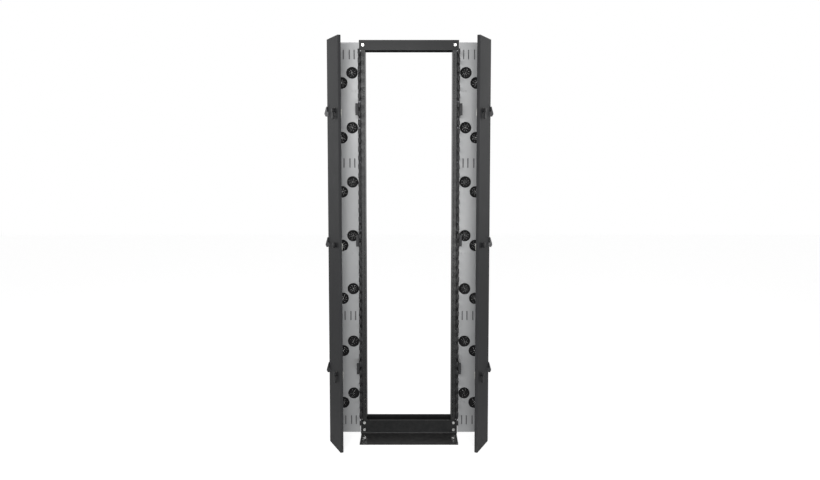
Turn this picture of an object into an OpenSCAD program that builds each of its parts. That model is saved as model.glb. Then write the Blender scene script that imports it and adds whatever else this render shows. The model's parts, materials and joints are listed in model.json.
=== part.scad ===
// Two-post equipment rack with a vertical cable manager on each side.
// The origin is on the floor, midway between the posts and midway through their depth.
// +X is to the right of someone facing the rack, the front faces -Y, and +Z is up.
// The right-hand manager is described, and the left-hand one is its mirror image.
// Each door is described as closed, then swung about its hinge to where it stands open.

/* [Rack] */
// Height of the rack from the floor to the top of the top angles
rack_h = 2076.4; // [1600:0.1:2400]
// Width over the outer edges of the posts
rack_w = 514.35; // [508:0.05:530]
// Clear opening between the two webs
rack_opening = 450.85; // [447:0.05:452]
// Depth of the post channel, front face to rear face
post_d = 76.2; // [70:0.1:160]
// Wall of the post channel
post_t = 3.05; // [2.5:0.01:4]
// Fillet between the web and the flanges
post_fillet = 1.2; // [0.5:0.1:2]
// Spacing of the two columns of equipment holes
hole_span = 465.1; // [464.5:0.1:466]
// Diameter of an equipment hole
hole_d = 5.6; // [5:0.1:7.1]
// Height of one rack unit
unit_h = 44.45; // [44.45]

/* [Angles] */
// Wall of the top and base angles
angle_t = 4.76; // [3:0.01:6]
// Height of the top angle's front face
top_angle_h = 50.8; // [38:0.1:64]
// Depth of the top angle's upper leg
top_angle_d = 38.1; // [25:0.1:40]
// Height of the base angle's upright leg
base_angle_h = 76.2; // [70:0.1:90]
// Reach of the base angle's foot beyond the post
base_foot_d = 139.7; // [100:0.1:160]
// Length of the base angles
base_l = 508; // [500:1:514]
// Fillet where the foot meets the upright leg
base_fillet = 5; // [2:0.5:8]
// Spacing of the floor anchor holes along the base
anchor_span = 463.6; // [440:0.1:480]
// Distance of the anchor holes from the post's face
anchor_y = 60; // [45:1:80]
// Diameter of a floor anchor hole
anchor_d = 17.5; // [12:0.5:20]

/* [Frame bolts] */
// Thread diameter of the frame bolts
bolt_d = 9.5; // [8:0.1:10]
// Width across the flats of a bolt head or nut
bolt_af = 14.3; // [13:0.1:15]
// Height of a bolt head
bolt_head_h = 6; // [4:0.1:8]
// Height of a nut
nut_h = 7.5; // [5:0.1:9]
// Height of the lower base bolts above the floor
base_bolt_z = 25.4; // [20:0.1:28]
// Rise from the lower to the upper base bolts
base_bolt_rise = 38.1; // [30:0.1:40]
// Gap all round a bolt in its hole
bolt_gap = 0.4; // [0.1:0.1:0.6]

/* [Cable manager] */
// Width of the manager beyond the post
mgr_w = 150; // [140:1:160]
// Height of the manager's lower edge above the floor
mgr_z0 = 10.5; // [5:0.5:20]
// Distance of the manager's upper edge below the top of the rack
mgr_drop = 12; // [5:0.5:30]
// Depth of the trough, from the post's face to the front lip
mgr_d = 93; // [90:1:120]
// Thickness of the sheet in the panel, walls and doors
sheet_t = 1.5; // [1:0.1:2]
// How far the back panel laps over the post's front flange
panel_lap = 11.2; // [9:0.1:12]
// Gap between the back panel's edges and the parts beside them
panel_gap = 1.5; // [0.5:0.1:3]
// Width of the outer wall's folded flanges
wall_flange = 22; // [18:1:26]
// Depth of the stiffening return behind the front lip
wall_return = 8; // [5:0.5:10]
// Outside radius of a sheet-metal bend
bend_r = 2.5; // [1.8:0.1:4]

/* [Grommets] */
// Diameter of a grommet's face
grommet_d = 60; // [56:0.5:62]
// Diameter of the hole for a grommet
grommet_hole_d = 52; // [48:0.5:54]
// Number of pairs of grommets
grommet_pairs = 7; // [5:1:7]
// Height of the lowest inner grommet
grommet_z0 = 224; // [215:1:232]
// Spacing of the pairs
grommet_pitch = 281; // [278:0.5:284]
// Distance of the inner grommets from the rack's middle
grommet_x = 293; // [292:0.5:296]
// Step out from an inner grommet to its partner
grommet_step_x = 53.5; // [48:0.5:56]
// Step down from an inner grommet to its partner
grommet_step_z = 51.5; // [45:0.5:56]
// Height of a grommet's rim above the panel
grommet_rim = 3.4; // [2:0.1:5]
// Thickness of a grommet's slit membrane
membrane_t = 1.6; // [1:0.1:2.5]
// Number of petals in the membrane
petals = 8; // [4:1:12]
// Width of the slits between petals
slit_w = 1; // [0.6:0.1:2]
// Diameter of the membrane's centre hole
membrane_eye_d = 7; // [4:0.5:12]

/* [Tie slots] */
// Height of a tie slot
slot_h = 50; // [40:1:56]
// Width of a tie slot
slot_w = 6; // [4:0.5:8]
// Distance of the first slot from the rack's middle
slot_x = 281.5; // [279:0.5:284]
// Step from the first slot to the second
slot_step_1 = 25; // [20:0.5:30]
// Step from the second slot to the third
slot_step_2 = 31; // [25:0.5:36]
// Height of the lowest slots above the manager's lower edge
slot_end_low = 66.3; // [50:0.1:80]
// Rise from the lowest slots to the next
slot_rise = 565; // [545:1:580]
// Distance of the highest slots below the manager's upper edge
slot_end_high = 61.5; // [50:0.1:75]
// Fall from the highest slots to the next
slot_fall = 556.5; // [545:0.5:575]

/* [Fingers] */
// Distance from the rack's middle to the fingers' blade
finger_x = 251; // [250:0.1:252]
// Thickness of a finger's blade
finger_t = 3; // [2:0.1:4]
// Reach of the fingers beyond the rail
finger_l = 89; // [80:1:89]
// Height of a finger's blade at the rail
finger_root_h = 15; // [12:0.5:20]
// Height of a finger's head
finger_head_h = 26; // [22:0.5:30]
// Width of a finger's head
finger_head_w = 12; // [8:0.5:12]
// Thickness of the rail that carries the fingers
rail_t = 3; // [2:0.1:4]
// Width of the rail
rail_w = 15.5; // [14:0.1:16]
// Number of strips on each side
strips = 4; // [3:1:5]
// Gap between two strips
strip_gap = 0.8; // [0.4:0.1:2]

/* [Door] */
// Width of the door
door_w = 160; // [150:0.5:162]
// Gap between the door's lower edge and the base angle's foot
door_foot_gap = 1.2; // [0.8:0.1:8]
// Distance of the door's upper edge below the manager's upper edge
door_drop = 3.5; // [0:0.5:10]
// Depth of the door's folded edges
door_d = 15; // [13:0.5:18]
// How far the door stands open
door_open = 64; // [0:1:110]
// Gap between the door's folded edges and the manager's front lip
door_gap = 6; // [5:0.5:10]
// Distance of the hinge axis behind the door's face
hinge_back = 8; // [7.5:0.5:9]
// Distance of the hinge axis from the door's edge
hinge_in = 7; // [6.8:0.1:8]
// Width of the door's stiffener
stiff_w = 34; // [24:1:36]
// Height of the stiffener's crown
stiff_h = 11; // [8:0.5:12]
// Distance of the stiffener's middle from the hinge edge of the door
stiff_in = 72; // [65:1:74]
// Length left bare at each end of the stiffener
stiff_end = 55; // [40:5:90]

/* [Hinges] */
// Height of the middle hinge and latch
hinge_mid_z = 1045; // [1044:1:1046]
// Distance from the middle hinge and latch up to the top ones
hinge_up = 660; // [650:1:665]
// Distance from the middle hinge and latch down to the bottom ones
hinge_down = 650; // [645:1:660]
// Diameter of a hinge pin
pin_d = 5; // [4:0.1:5.4]
// Radial gap between a pin and its knuckles
pin_gap = 0.05; // [0.01:0.01:0.1]
// Outside diameter of a knuckle
knuckle_d = 9.6; // [8:0.1:10]
// Length of a knuckle
knuckle_l = 22; // [18:0.5:26]
// Thickness of the washer between the knuckles
washer_t = 0.9; // [0.5:0.1:2]
// Thickness of a hinge bracket's foot
foot_t = 3; // [2:0.5:4]
// Half the height of a hinge bracket's foot
foot_half = 32; // [28:1:40]
// Depth of a hinge bracket's foot
foot_d = 36; // [30:1:44]
// Distance of the hinge arm from the hinge axis
arm_out = 11.8; // [11.4:0.1:13]
// Reach of the arm's wedge beyond its inner face
arm_reach = 12.2; // [8:0.1:16]
// Thickness of the web that carries the fixed knuckle
arm_web = 4; // [3:0.5:5]

/* [Latches] */
// Distance of the latch axis from the door's free edge
latch_in = 45; // [42:0.5:50]
// Diameter of a latch housing's barrel
barrel_d = 18; // [15:0.5:20]
// Diameter of a latch housing's flange
flange_d = 28; // [24:0.5:30]
// Diameter of a latch spindle
spindle_d = 10; // [8:0.1:11]
// Radial gap round a spindle
spindle_gap = 0.06; // [0.02:0.01:0.1]
// Length of a lever handle below its axis
lever_l = 42; // [34:1:50]
// Diameter of a round knob
knob_d = 27; // [22:0.5:30]
// Distance from the door's face to the outside of a handle
handle_out = 17; // [15:0.5:20]
// Thickness of a cam
cam_t = 3; // [2:0.5:4]
// Reach of a cam from its axis to its tip
cam_reach = 30; // [26:0.5:31]
// Width of a cam
cam_w = 16; // [12:0.5:18]
// Gap between a latched cam and the strike's lip
cam_gap = 2.5; // [1:0.5:4]
// Thickness of a strike
strike_t = 2; // [1.5:0.1:3]
// Half the height of a strike's lip
strike_half = 30; // [24:1:32]
// Width of a strike's lip
strike_lip = 12; // [9:0.5:13]

/* [Mounting brackets] */
// Thickness of a mounting bracket
bracket_t = 3; // [2.5:0.1:4]
// Height of a bracket's folded tabs
bracket_h = 50; // [40:1:60]
// Reach of a bracket behind the panel
bracket_reach = 46; // [40:1:60]
// Width of a bracket's tab on the web
bracket_tab_w = 26; // [20:1:30]
// Width of a bracket's tab on the panel
bracket_ear_w = 38; // [34:1:40]
// Distance from a bracket's shelf to its first bolt
bracket_bolt_z = 14; // [12:0.5:16]
// Spacing of a bracket's two bolts
bracket_bolt_rise = 22; // [18:0.5:26]
// Diameter of a countersunk bolt's head
flat_head_d = 17.5; // [15:0.1:19]

/* [Screws] */
// Thread diameter of the small screws
screw_d = 4; // [3:0.1:5]
// Head diameter of the small screws
screw_head_d = 7; // [6:0.1:7.5]
// Head height of the small screws
screw_head_h = 2.2; // [1.5:0.1:3]
// Gap all round a screw in a hole it passes through
screw_gap = 0.2; // [0.1:0.05:0.4]
// Gap all round a screw in a hole it is threaded into
thread_gap = 0.05; // [0.02:0.01:0.1]
// Distance of the outermost wall screws from the ends of the manager
wall_screw_end = 50; // [30:1:80]

/* [Hidden] */
$fn = 48;
tiny = 0.01;
cut = 1;

// Rack
face_y = -post_d / 2;
post_x1 = rack_w / 2;
post_x0 = rack_opening / 2;
post_h = rack_h - angle_t;
clear_z0 = base_angle_h;
clear_z1 = rack_h - top_angle_h;
units = floor((clear_z1 - clear_z0) / unit_h);
unit_z0 = (clear_z0 + clear_z1 - units * unit_h) / 2;
unit_holes = [6.35, 22.225, 38.1];
nut_clearance = 0.3;
frame_bolt_x = post_x0 + post_t + post_fillet + nut_clearance + bolt_af / 2;
top_bolt_z = rack_h - top_angle_h / 2;
base_bolt_zs = [base_bolt_z, base_bolt_z + base_bolt_rise];

// Manager
mgr_x1 = post_x1 + mgr_w;
panel_x0 = post_x1 - panel_lap;
panel_x1 = mgr_x1 - sheet_t - panel_gap;
panel_face = face_y - sheet_t;
mgr_z1 = rack_h - mgr_drop;
mgr_h = mgr_z1 - mgr_z0;
lip_y = face_y - mgr_d;
rail_face = panel_face - rail_t;
finger_tip_y = rail_face - finger_l;
finger_count = units + 1;
slot_xs = [slot_x, slot_x + slot_step_1, slot_x + slot_step_1 + slot_step_2];
slot_zs = [mgr_z0 + slot_end_low, mgr_z0 + slot_end_low + slot_rise,
    mgr_z1 - slot_end_high - slot_fall, mgr_z1 - slot_end_high];
wall_screw_x = panel_x1 - screw_head_d / 2 - bend_r - 4;
wall_screw_zs = [for (k = [0 : 5])
    mgr_z0 + wall_screw_end + k * (mgr_h - 2 * wall_screw_end) / 5];
rail_screw_x = panel_x0 + rail_w / 2;
strip_starts = [for (n = [0 : strips]) round(n * finger_count / strips)];

// Door, closed
hinge_x = mgr_x1 - hinge_in;
door_face = lip_y - door_gap - door_d;
hinge_y = door_face + hinge_back;
door_x0 = mgr_x1 - door_w;
door_z0 = angle_t + door_foot_gap;
door_z1 = mgr_z1 - door_drop;
door_h = door_z1 - door_z0;
station_zs = [hinge_mid_z - hinge_down, hinge_mid_z, hinge_mid_z + hinge_up];
notch_x = 9;
notch_z0 = knuckle_l + washer_t + 3.1;
leaf_t = 2.5;
leaf_w = 28;
leaf_pad = 18;
leaf_screw_x = hinge_x - leaf_w + leaf_pad / 2;
leaf_screw_zs = [-8, knuckle_l + 8];

// Latches
latch_x = door_x0 + latch_in;
lip_front = lip_y + 3;
strike_x = post_x1 + 0.8;
strike_zs = [for (z = station_zs) unit_z0 + (round((z - unit_z0) / unit_h - 0.5) + 0.5) * unit_h];
strike_ear_h = 14;
strike_ear_w = 11;
strike_screw_zs = [for (z = strike_zs, s = [-1, 1]) z + s * unit_h];

// Each strip has a screw near each end, except where a strike's own screws hold it.
rail_screw_zs = [for (n = [0 : strips - 1], k = [strip_starts[n] + 1.5, strip_starts[n + 1] - 2.5])
    let (z = unit_z0 + k * unit_h)
    if (min([for (w = strike_screw_zs) abs(z - w)]) > unit_h / 2) z];
cam_y0 = lip_front + strike_t + cam_gap;
barrel_l = door_d + 3;
latch_nut_t = 4;
flange_t = 2.5;
hub_gap = 0.2;
hub_d = 20;
tenon = 7;
LATCH_NAMES = ["bottom", "middle", "top"];

// ---- Helpers -------------------------------------------------------------

// Turns a shape that stands on the XY plane so that it rises towards -Y.
module towards_front(y) translate([0, y, 0]) rotate([90, 0, 0]) children();

// Repeats the children at both sides of the rack.
module both_sides() for (s = [0, 1]) mirror([s, 0, 0]) children();

// Draws the children on the left by mirroring them.
module left_side() mirror([1, 0, 0]) children();

// Swings a closed door's parts to where the door stands open.
module swung() translate([hinge_x, hinge_y, 0]) rotate([0, 0, door_open])
    translate([-hinge_x, -hinge_y, 0]) children();

// A quarter of a bent sheet's corner, in the quadrant that qx and qy name.
module bend_2d(x, y, qx, qy) intersection() {
    translate([x, y]) difference() {
        circle(bend_r);
        circle(bend_r - sheet_t);
    }
    translate([qx < 0 ? x - bend_r : x, qy < 0 ? y - bend_r : y]) square(bend_r);
}

// A hexagonal prism along +Z that measures af across its flats, with flats facing +X and -X.
module hexagon(af, h) rotate([0, 0, 30]) cylinder(d = af / cos(30), h = h, $fn = 6);

// A slot with round ends, standing along Y.
module slot_2d(w, h) union() {
    square([w, h - w], center = true);
    for (s = [-1, 1]) translate([0, s * (h - w) / 2]) circle(d = w);
}

// A pan-headed screw along +Z, with the underside of its head at z = 0 and its head above.
module pan_screw(grip) union() {
    translate([0, 0, -grip]) cylinder(d = screw_d, h = grip + tiny);
    cylinder(d = screw_head_d, h = screw_head_h * 0.55);
    translate([0, 0, screw_head_h * 0.55])
        cylinder(d1 = screw_head_d, d2 = screw_head_d * 0.62, h = screw_head_h * 0.45);
}

// ---- Rack ----------------------------------------------------------------

// Outline of the right-hand post, a channel that opens outwards.
module post_2d() {
    difference() {
        translate([post_x0, -post_d / 2]) square([post_x1 - post_x0, post_d]);
        translate([post_x0 + post_t, -post_d / 2 + post_t])
            square([post_x1 - post_x0, post_d - 2 * post_t]);
    }
    for (s = [-1, 1]) translate([post_x0 + post_t, s * (post_d / 2 - post_t)]) difference() {
        translate([0, s > 0 ? -post_fillet : 0]) square(post_fillet);
        translate([post_fillet, -s * post_fillet]) circle(post_fillet);
    }
}

module upright() color("#26282a") difference() {
    linear_extrude(post_h) post_2d();
    for (k = [0 : units - 1], z = unit_holes)
        translate([hole_span / 2, post_d / 2 + cut, unit_z0 + k * unit_h + z])
            rotate([90, 0, 0]) cylinder(d = hole_d, h = post_d + 2 * cut);
    for (z = [base_bolt_zs[0], base_bolt_zs[1], top_bolt_z])
        translate([frame_bolt_x, post_d / 2 + cut, z])
            rotate([90, 0, 0]) cylinder(d = bolt_d + 2 * bolt_gap, h = post_d + 2 * cut);
    for (z = bracket_bolt_zs) translate([post_x0 - cut, 0, z]) rotate([0, 90, 0]) {
        cylinder(d = bolt_d + 2 * bolt_gap, h = post_t + 2 * cut);
        translate([0, 0, cut - tiny]) cylinder(d1 = flat_head_d, d2 = bolt_d, h = flat_head_h);
    }
}

// An angle across the top, with its upper leg reaching back over the posts.
module top_angle() color("#1f2123") difference() {
    translate([rack_w / 2, 0, 0]) rotate([0, -90, 0]) linear_extrude(rack_w) union() {
        translate([rack_h - top_angle_h, face_y - angle_t]) square([top_angle_h, angle_t]);
        translate([rack_h - angle_t, face_y - angle_t]) square([angle_t, top_angle_d]);
    }
    for (s = [-1, 1]) translate([s * frame_bolt_x, face_y + cut, top_bolt_z])
        rotate([90, 0, 0]) cylinder(d = bolt_d + 2 * bolt_gap, h = angle_t + 2 * cut);
}

// An angle along the floor: an upright leg bolted to the posts and a foot that reaches forward.
module base_angle() color("#1f2123") difference() {
    translate([base_l / 2, 0, 0]) rotate([0, -90, 0]) linear_extrude(base_l) union() {
        translate([0, face_y - angle_t]) square([base_angle_h, angle_t]);
        translate([0, face_y - base_foot_d]) square([angle_t, base_foot_d]);
        translate([angle_t, face_y - angle_t - base_fillet]) difference() {
            square(base_fillet);
            translate([base_fillet, 0]) circle(base_fillet);
        }
    }
    for (s = [-1, 1], z = base_bolt_zs) translate([s * frame_bolt_x, face_y + cut, z])
        rotate([90, 0, 0]) cylinder(d = bolt_d + 2 * bolt_gap, h = angle_t + 2 * cut);
    for (s = [-1, 1]) translate([s * anchor_span / 2, face_y - anchor_y, -cut])
        cylinder(d = anchor_d, h = angle_t + 2 * cut);
}

// Draws the children at each place where a bolt holds an angle to a post.
module at_frame_bolts() for (r = [0, 1]) mirror([0, r, 0])
    for (s = [-1, 1], z = [base_bolt_zs[0], base_bolt_zs[1], top_bolt_z])
        translate([s * frame_bolt_x, face_y - angle_t, z]) rotate([90, 0, 0]) children();

module rack_bolts() color("#d9d9d6") at_frame_bolts() union() {
    translate([0, 0, -angle_t - post_t - nut_h - 2]) cylinder(d = bolt_d, h = angle_t + post_t + nut_h + 2);
    intersection() {
        hexagon(bolt_af, bolt_head_h);
        cylinder(d1 = bolt_af * 1.35, d2 = bolt_af * 1.0, h = bolt_head_h);
    }
}

module nut() difference() {
    hexagon(bolt_af, nut_h);
    translate([0, 0, -cut]) cylinder(d = bolt_d + 0.1, h = nut_h + 2 * cut);
}

module rack_nuts() color("#c4c4c0") {
    at_frame_bolts() translate([0, 0, -angle_t - post_t - nut_h]) nut();
    both_sides() for (z = bracket_bolt_zs)
        translate([post_x0 + post_t + bracket_t, 0, z]) rotate([0, 90, 0]) nut();
}

// ---- Mounting brackets ---------------------------------------------------

bracket_units = [1, round(units * 0.44), units - 5];
bracket_zs = [for (k = bracket_units) unit_z0 + k * unit_h - bracket_t / 2];
bracket_bolt_zs = [for (z = bracket_zs, k = [0, 1]) z + bracket_bolt_z + k * bracket_bolt_rise];
flat_head_h = post_t - 0.3;
bracket_x1 = post_x1 + bracket_reach;
bracket_screw_z = bracket_h - 15;
bracket_screw_xs = [bracket_x1 - bracket_ear_w + 10, bracket_x1 - 10];

// A shelf inside the post, with one tab bolted to the web and one to the back of the panel.
module mount_brackets() color("#2b2d2f") for (z = bracket_zs) translate([0, 0, z]) difference() {
    x0 = post_x0 + post_t;
    x1 = post_x1 + panel_gap;
    inner = post_d / 2 - post_t - post_fillet - 1;
    union() {
        linear_extrude(bracket_t) polygon([
            [x0, -bracket_tab_w / 2], [x0 + inner - bracket_tab_w / 2, -inner], [x1, -inner],
            [x1, face_y], [bracket_x1, face_y], [bracket_x1, face_y + bracket_t + 12],
            [x1, inner - 4], [x1 - 4, inner], [x0 + inner - bracket_tab_w / 2, inner],
            [x0, bracket_tab_w / 2]
        ]);
        translate([x0, -bracket_tab_w / 2, 0]) cube([bracket_t, bracket_tab_w, bracket_h]);
        translate([bracket_x1 - bracket_ear_w, face_y, 0]) cube([bracket_ear_w, bracket_t, bracket_h]);
    }
    for (k = [0, 1]) translate([x0 - cut, 0, bracket_bolt_z + k * bracket_bolt_rise])
        rotate([0, 90, 0]) cylinder(d = bolt_d + 2 * bolt_gap, h = bracket_t + 2 * cut);
    for (x = bracket_screw_xs) translate([x, face_y + bracket_t + cut, bracket_screw_z])
        rotate([90, 0, 0]) cylinder(d = screw_d + 2 * thread_gap, h = bracket_t + 2 * cut);
}

// Countersunk bolts that hold the brackets to the webs.
module bracket_bolts() color("#3a3c3e") both_sides() for (z = bracket_bolt_zs)
    translate([post_x0, 0, z]) rotate([0, 90, 0]) union() {
        cylinder(d1 = flat_head_d - 0.4, d2 = bolt_d, h = flat_head_h - 0.2);
        cylinder(d = bolt_d, h = post_t + bracket_t + nut_h + 2);
    }

// ---- Cable manager -------------------------------------------------------

// Draws the children at the middle of each grommet, on the XY plane as seen from the front.
module at_grommets() for (k = [0 : grommet_pairs - 1]) {
    translate([grommet_x, grommet_z0 + k * grommet_pitch]) children();
    translate([grommet_x + grommet_step_x, grommet_z0 + k * grommet_pitch - grommet_step_z]) children();
}

module back_panel() color("#b9bbbc") towards_front(face_y) linear_extrude(sheet_t) difference() {
    translate([panel_x0, mgr_z0]) square([panel_x1 - panel_x0, mgr_h]);
    translate([panel_x0 - cut, mgr_z0 - cut])
        square([post_x1 + panel_gap - panel_x0 + cut, clear_z0 + panel_gap - mgr_z0 + cut]);
    translate([panel_x0 - cut, clear_z1 - panel_gap])
        square([post_x1 + panel_gap - panel_x0 + cut, mgr_z1 - clear_z1 + panel_gap + cut]);
    at_grommets() circle(d = grommet_hole_d);
    for (z = slot_zs, x = slot_xs) translate([x, z]) slot_2d(slot_w, slot_h);
    for (z = wall_screw_zs) translate([wall_screw_x, z]) circle(d = screw_d + 2 * screw_gap);
    for (z = bracket_zs, x = bracket_screw_xs)
        translate([x, z + bracket_screw_z]) circle(d = screw_d + 2 * screw_gap);
    for (z = concat(rail_screw_zs, strike_screw_zs))
        translate([rail_screw_x, z]) circle(d = screw_d + 2 * thread_gap);
}

// The outer wall: a side folded round at the back behind the panel and at the front into a lip.
module outer_wall() color("#222426") difference() {
    translate([0, 0, mgr_z0]) linear_extrude(mgr_h) union() {
        translate([mgr_x1 - wall_flange, face_y]) square([wall_flange - bend_r, sheet_t]);
        bend_2d(mgr_x1 - bend_r, face_y + sheet_t - bend_r, 1, 1);
        translate([mgr_x1 - sheet_t, lip_y + bend_r])
            square([sheet_t, face_y + sheet_t - lip_y - 2 * bend_r]);
        bend_2d(mgr_x1 - bend_r, lip_y + bend_r, 1, -1);
        translate([mgr_x1 - wall_flange + bend_r, lip_y]) square([wall_flange - 2 * bend_r, sheet_t]);
        bend_2d(mgr_x1 - wall_flange + bend_r, lip_y + bend_r, -1, -1);
        translate([mgr_x1 - wall_flange, lip_y + bend_r]) square([sheet_t, wall_return - bend_r]);
    }
    for (z = wall_screw_zs) translate([wall_screw_x, face_y + sheet_t + cut, z])
        rotate([90, 0, 0]) cylinder(d = screw_d + 2 * thread_gap, h = sheet_t + 2 * cut);
    for (z = station_zs, s = [-1, 1])
        translate([mgr_x1 - sheet_t - cut, foot_screw_y, z + s * foot_screw_z]) rotate([0, 90, 0])
            cylinder(d = screw_d + 2 * thread_gap, h = sheet_t + 2 * cut);
}

// A finger's blade, drawn with its root at x = 0 and flaring towards its head.
module blade_2d() polygon([
    [0, -finger_root_h / 2 - 4], [4, -finger_root_h / 2], [finger_l * 0.62, -finger_root_h / 2],
    [finger_l - rail_t, -finger_head_h / 2], [finger_l, -finger_head_h / 2],
    [finger_l, finger_head_h / 2], [finger_l - rail_t, finger_head_h / 2],
    [finger_l * 0.62, finger_root_h / 2], [4, finger_root_h / 2], [0, finger_root_h / 2 + 4]
]);

// One moulded strip of fingers; n counts the strips from the bottom.
module finger_strip(n) color("#17181a") {
    first = strip_starts[n];
    last = strip_starts[n + 1] - 1;
    z0 = unit_z0 + first * unit_h - (n == 0 ? finger_head_h : unit_h - strip_gap) / 2;
    z1 = unit_z0 + last * unit_h + (n == strips - 1 ? finger_head_h : unit_h - strip_gap) / 2;
    difference() {
        union() {
            translate([panel_x0, rail_face, z0]) cube([rail_w, rail_t, z1 - z0]);
            for (k = [first : last])
                translate([finger_x, rail_face, unit_z0 + k * unit_h]) {
                    translate([-finger_t / 2, tiny, 0]) rotate([90, 0, -90]) mirror([0, 0, 1])
                        linear_extrude(finger_t) blade_2d();
                    translate([0, rail_t - finger_l, 0]) rotate([90, 0, 0])
                        linear_extrude(rail_t) finger_head_2d();
                }
        }
        for (z = concat(rail_screw_zs, strike_screw_zs)) if (z > z0 && z < z1)
            translate([rail_screw_x, rail_face + rail_t + cut, z])
                rotate([90, 0, 0]) cylinder(d = screw_d + 2 * screw_gap, h = rail_t + 2 * cut);
    }
}

// A finger's head seen from the front, with rounded corners.
module finger_head_2d() {
    r = 3;
    square([finger_head_w - 2 * r, finger_head_h], center = true);
    square([finger_head_w, finger_head_h - 2 * r], center = true);
    for (i = [-1, 1], j = [-1, 1])
        translate([i * (finger_head_w / 2 - r), j * (finger_head_h / 2 - r)]) circle(r);
}

// A rubber grommet: a rim that grips the panel's edge, and a membrane slit into petals.
module grommet() {
    groove = sheet_t;
    difference() {
        rotate_extrude() polygon([
            [0, -membrane_t / 2 + groove / 2],
            [grommet_hole_d / 2 - 5, -membrane_t / 2 + groove / 2],
            [grommet_hole_d / 2 - 3.5, -2.2],
            [grommet_hole_d / 2 + 1.8, -2.2],
            [grommet_hole_d / 2 + 2.6, 0],
            [grommet_hole_d / 2, 0],
            [grommet_hole_d / 2, groove],
            [grommet_d / 2, groove],
            [grommet_d / 2 - 0.6, groove + grommet_rim * 0.6],
            [grommet_d / 2 - 2.4, groove + grommet_rim],
            [grommet_d / 2 - 6.5, groove + grommet_rim],
            [grommet_hole_d / 2 - 4.6, groove + grommet_rim * 0.4],
            [grommet_hole_d / 2 - 5, membrane_t / 2 + groove / 2],
            [0, membrane_t / 2 + groove / 2]
        ]);
        translate([0, 0, -3]) cylinder(d = membrane_eye_d, h = 8);
        for (k = [0 : petals - 1]) rotate([0, 0, k * 360 / petals])
            translate([0, -slit_w / 2, -3]) cube([grommet_hole_d / 2 - 6, slit_w, 8]);
    }
}

module grommets() color("#141516") towards_front(face_y) at_grommets() grommet();

// A strike for each latch: a wall with two ears screwed to the rail, and a lip along its front edge.
module strikes() color("#1b1c1e") for (z = strike_zs) translate([0, 0, z]) difference() {
    union() {
        translate([strike_x + strike_t, 0, 0]) rotate([0, -90, 0]) linear_extrude(strike_t) polygon([
            [-strike_half, lip_front], [strike_half, lip_front], [strike_half, rail_face - 22],
            [unit_h + strike_ear_h / 2, rail_face - 10], [unit_h + strike_ear_h / 2, rail_face],
            [-unit_h - strike_ear_h / 2, rail_face], [-unit_h - strike_ear_h / 2, rail_face - 10],
            [-strike_half, rail_face - 22]
        ]);
        translate([strike_x, lip_front, -strike_half]) cube([strike_lip, strike_t, 2 * strike_half]);
        for (s = [-1, 1])
            translate([strike_x - strike_ear_w, rail_face - strike_t, s * unit_h - strike_ear_h / 2])
                cube([strike_ear_w + strike_t, strike_t, strike_ear_h]);
    }
    for (s = [-1, 1]) translate([rail_screw_x, rail_face + cut, s * unit_h])
        rotate([90, 0, 0]) cylinder(d = screw_d + 2 * screw_gap, h = strike_t + 2 * cut);
}

module finger_screws() color("#4a4c4e") both_sides() {
    for (z = rail_screw_zs) translate([rail_screw_x, rail_face, z])
        rotate([90, 0, 0]) pan_screw(rail_t + sheet_t);
    for (z = strike_screw_zs) translate([rail_screw_x, rail_face - strike_t, z])
        rotate([90, 0, 0]) pan_screw(strike_t + rail_t + sheet_t);
}

module panel_screws() color("#9a9c9d") both_sides() {
    for (z = wall_screw_zs) translate([wall_screw_x, panel_face, z])
        rotate([90, 0, 0]) pan_screw(2 * sheet_t + 2);
    for (z = bracket_zs, x = bracket_screw_xs) translate([x, panel_face, z + bracket_screw_z])
        rotate([90, 0, 0]) pan_screw(sheet_t + bracket_t + 2);
}

// ---- Hinges --------------------------------------------------------------

arm_x = hinge_x + arm_out;
arm_y0 = hinge_y - arm_web / 2;
arm_y1 = lip_y + 5;
foot_screw_y = lip_y + foot_d - 12;
foot_screw_z = foot_half - 12;

// Outline of the arm seen from the front, from x0 outwards: a wedge that is widest near its foot.
module arm_2d(x0) polygon([
    [x0, -knuckle_l - 2], [arm_x + arm_reach - 6, -knuckle_l - 2],
    [arm_x + arm_reach, -knuckle_l + 10], [arm_x + 2.6, knuckle_l + 3], [x0, knuckle_l + 3]
]);

// A fixed hinge bracket: a foot on the outer wall and an arm that carries the lower knuckle.
module hinge_brackets() color("#101112") for (z = station_zs) translate([0, 0, z]) difference() {
    union() {
        translate([mgr_x1, lip_y, -foot_half]) cube([foot_t, foot_d, 2 * foot_half]);
        translate([0, arm_y1, 0]) rotate([90, 0, 0]) linear_extrude(arm_y1 - lip_y) arm_2d(mgr_x1);
        translate([0, lip_y + tiny, 0]) rotate([90, 0, 0])
            linear_extrude(lip_y - arm_y0 + tiny) arm_2d(arm_x);
        translate([hinge_x, arm_y0, -knuckle_l - washer_t])
            cube([arm_out + tiny, arm_web, knuckle_l]);
        translate([hinge_x, hinge_y, -knuckle_l - washer_t]) cylinder(d = knuckle_d, h = knuckle_l);
    }
    translate([hinge_x, hinge_y, -knuckle_l - washer_t - cut])
        cylinder(d = pin_d + 2 * pin_gap, h = knuckle_l + 2 * cut);
    for (s = [-1, 1]) translate([mgr_x1 - cut, foot_screw_y, s * foot_screw_z])
        rotate([0, 90, 0]) cylinder(d = screw_d + 2 * screw_gap, h = foot_t + 2 * cut);
}

module hinge_screws() color("#4a4c4e") both_sides() for (z = station_zs, s = [-1, 1])
    translate([mgr_x1 + foot_t, foot_screw_y, z + s * foot_screw_z])
        rotate([0, 90, 0]) pan_screw(foot_t + sheet_t + 2);

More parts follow.
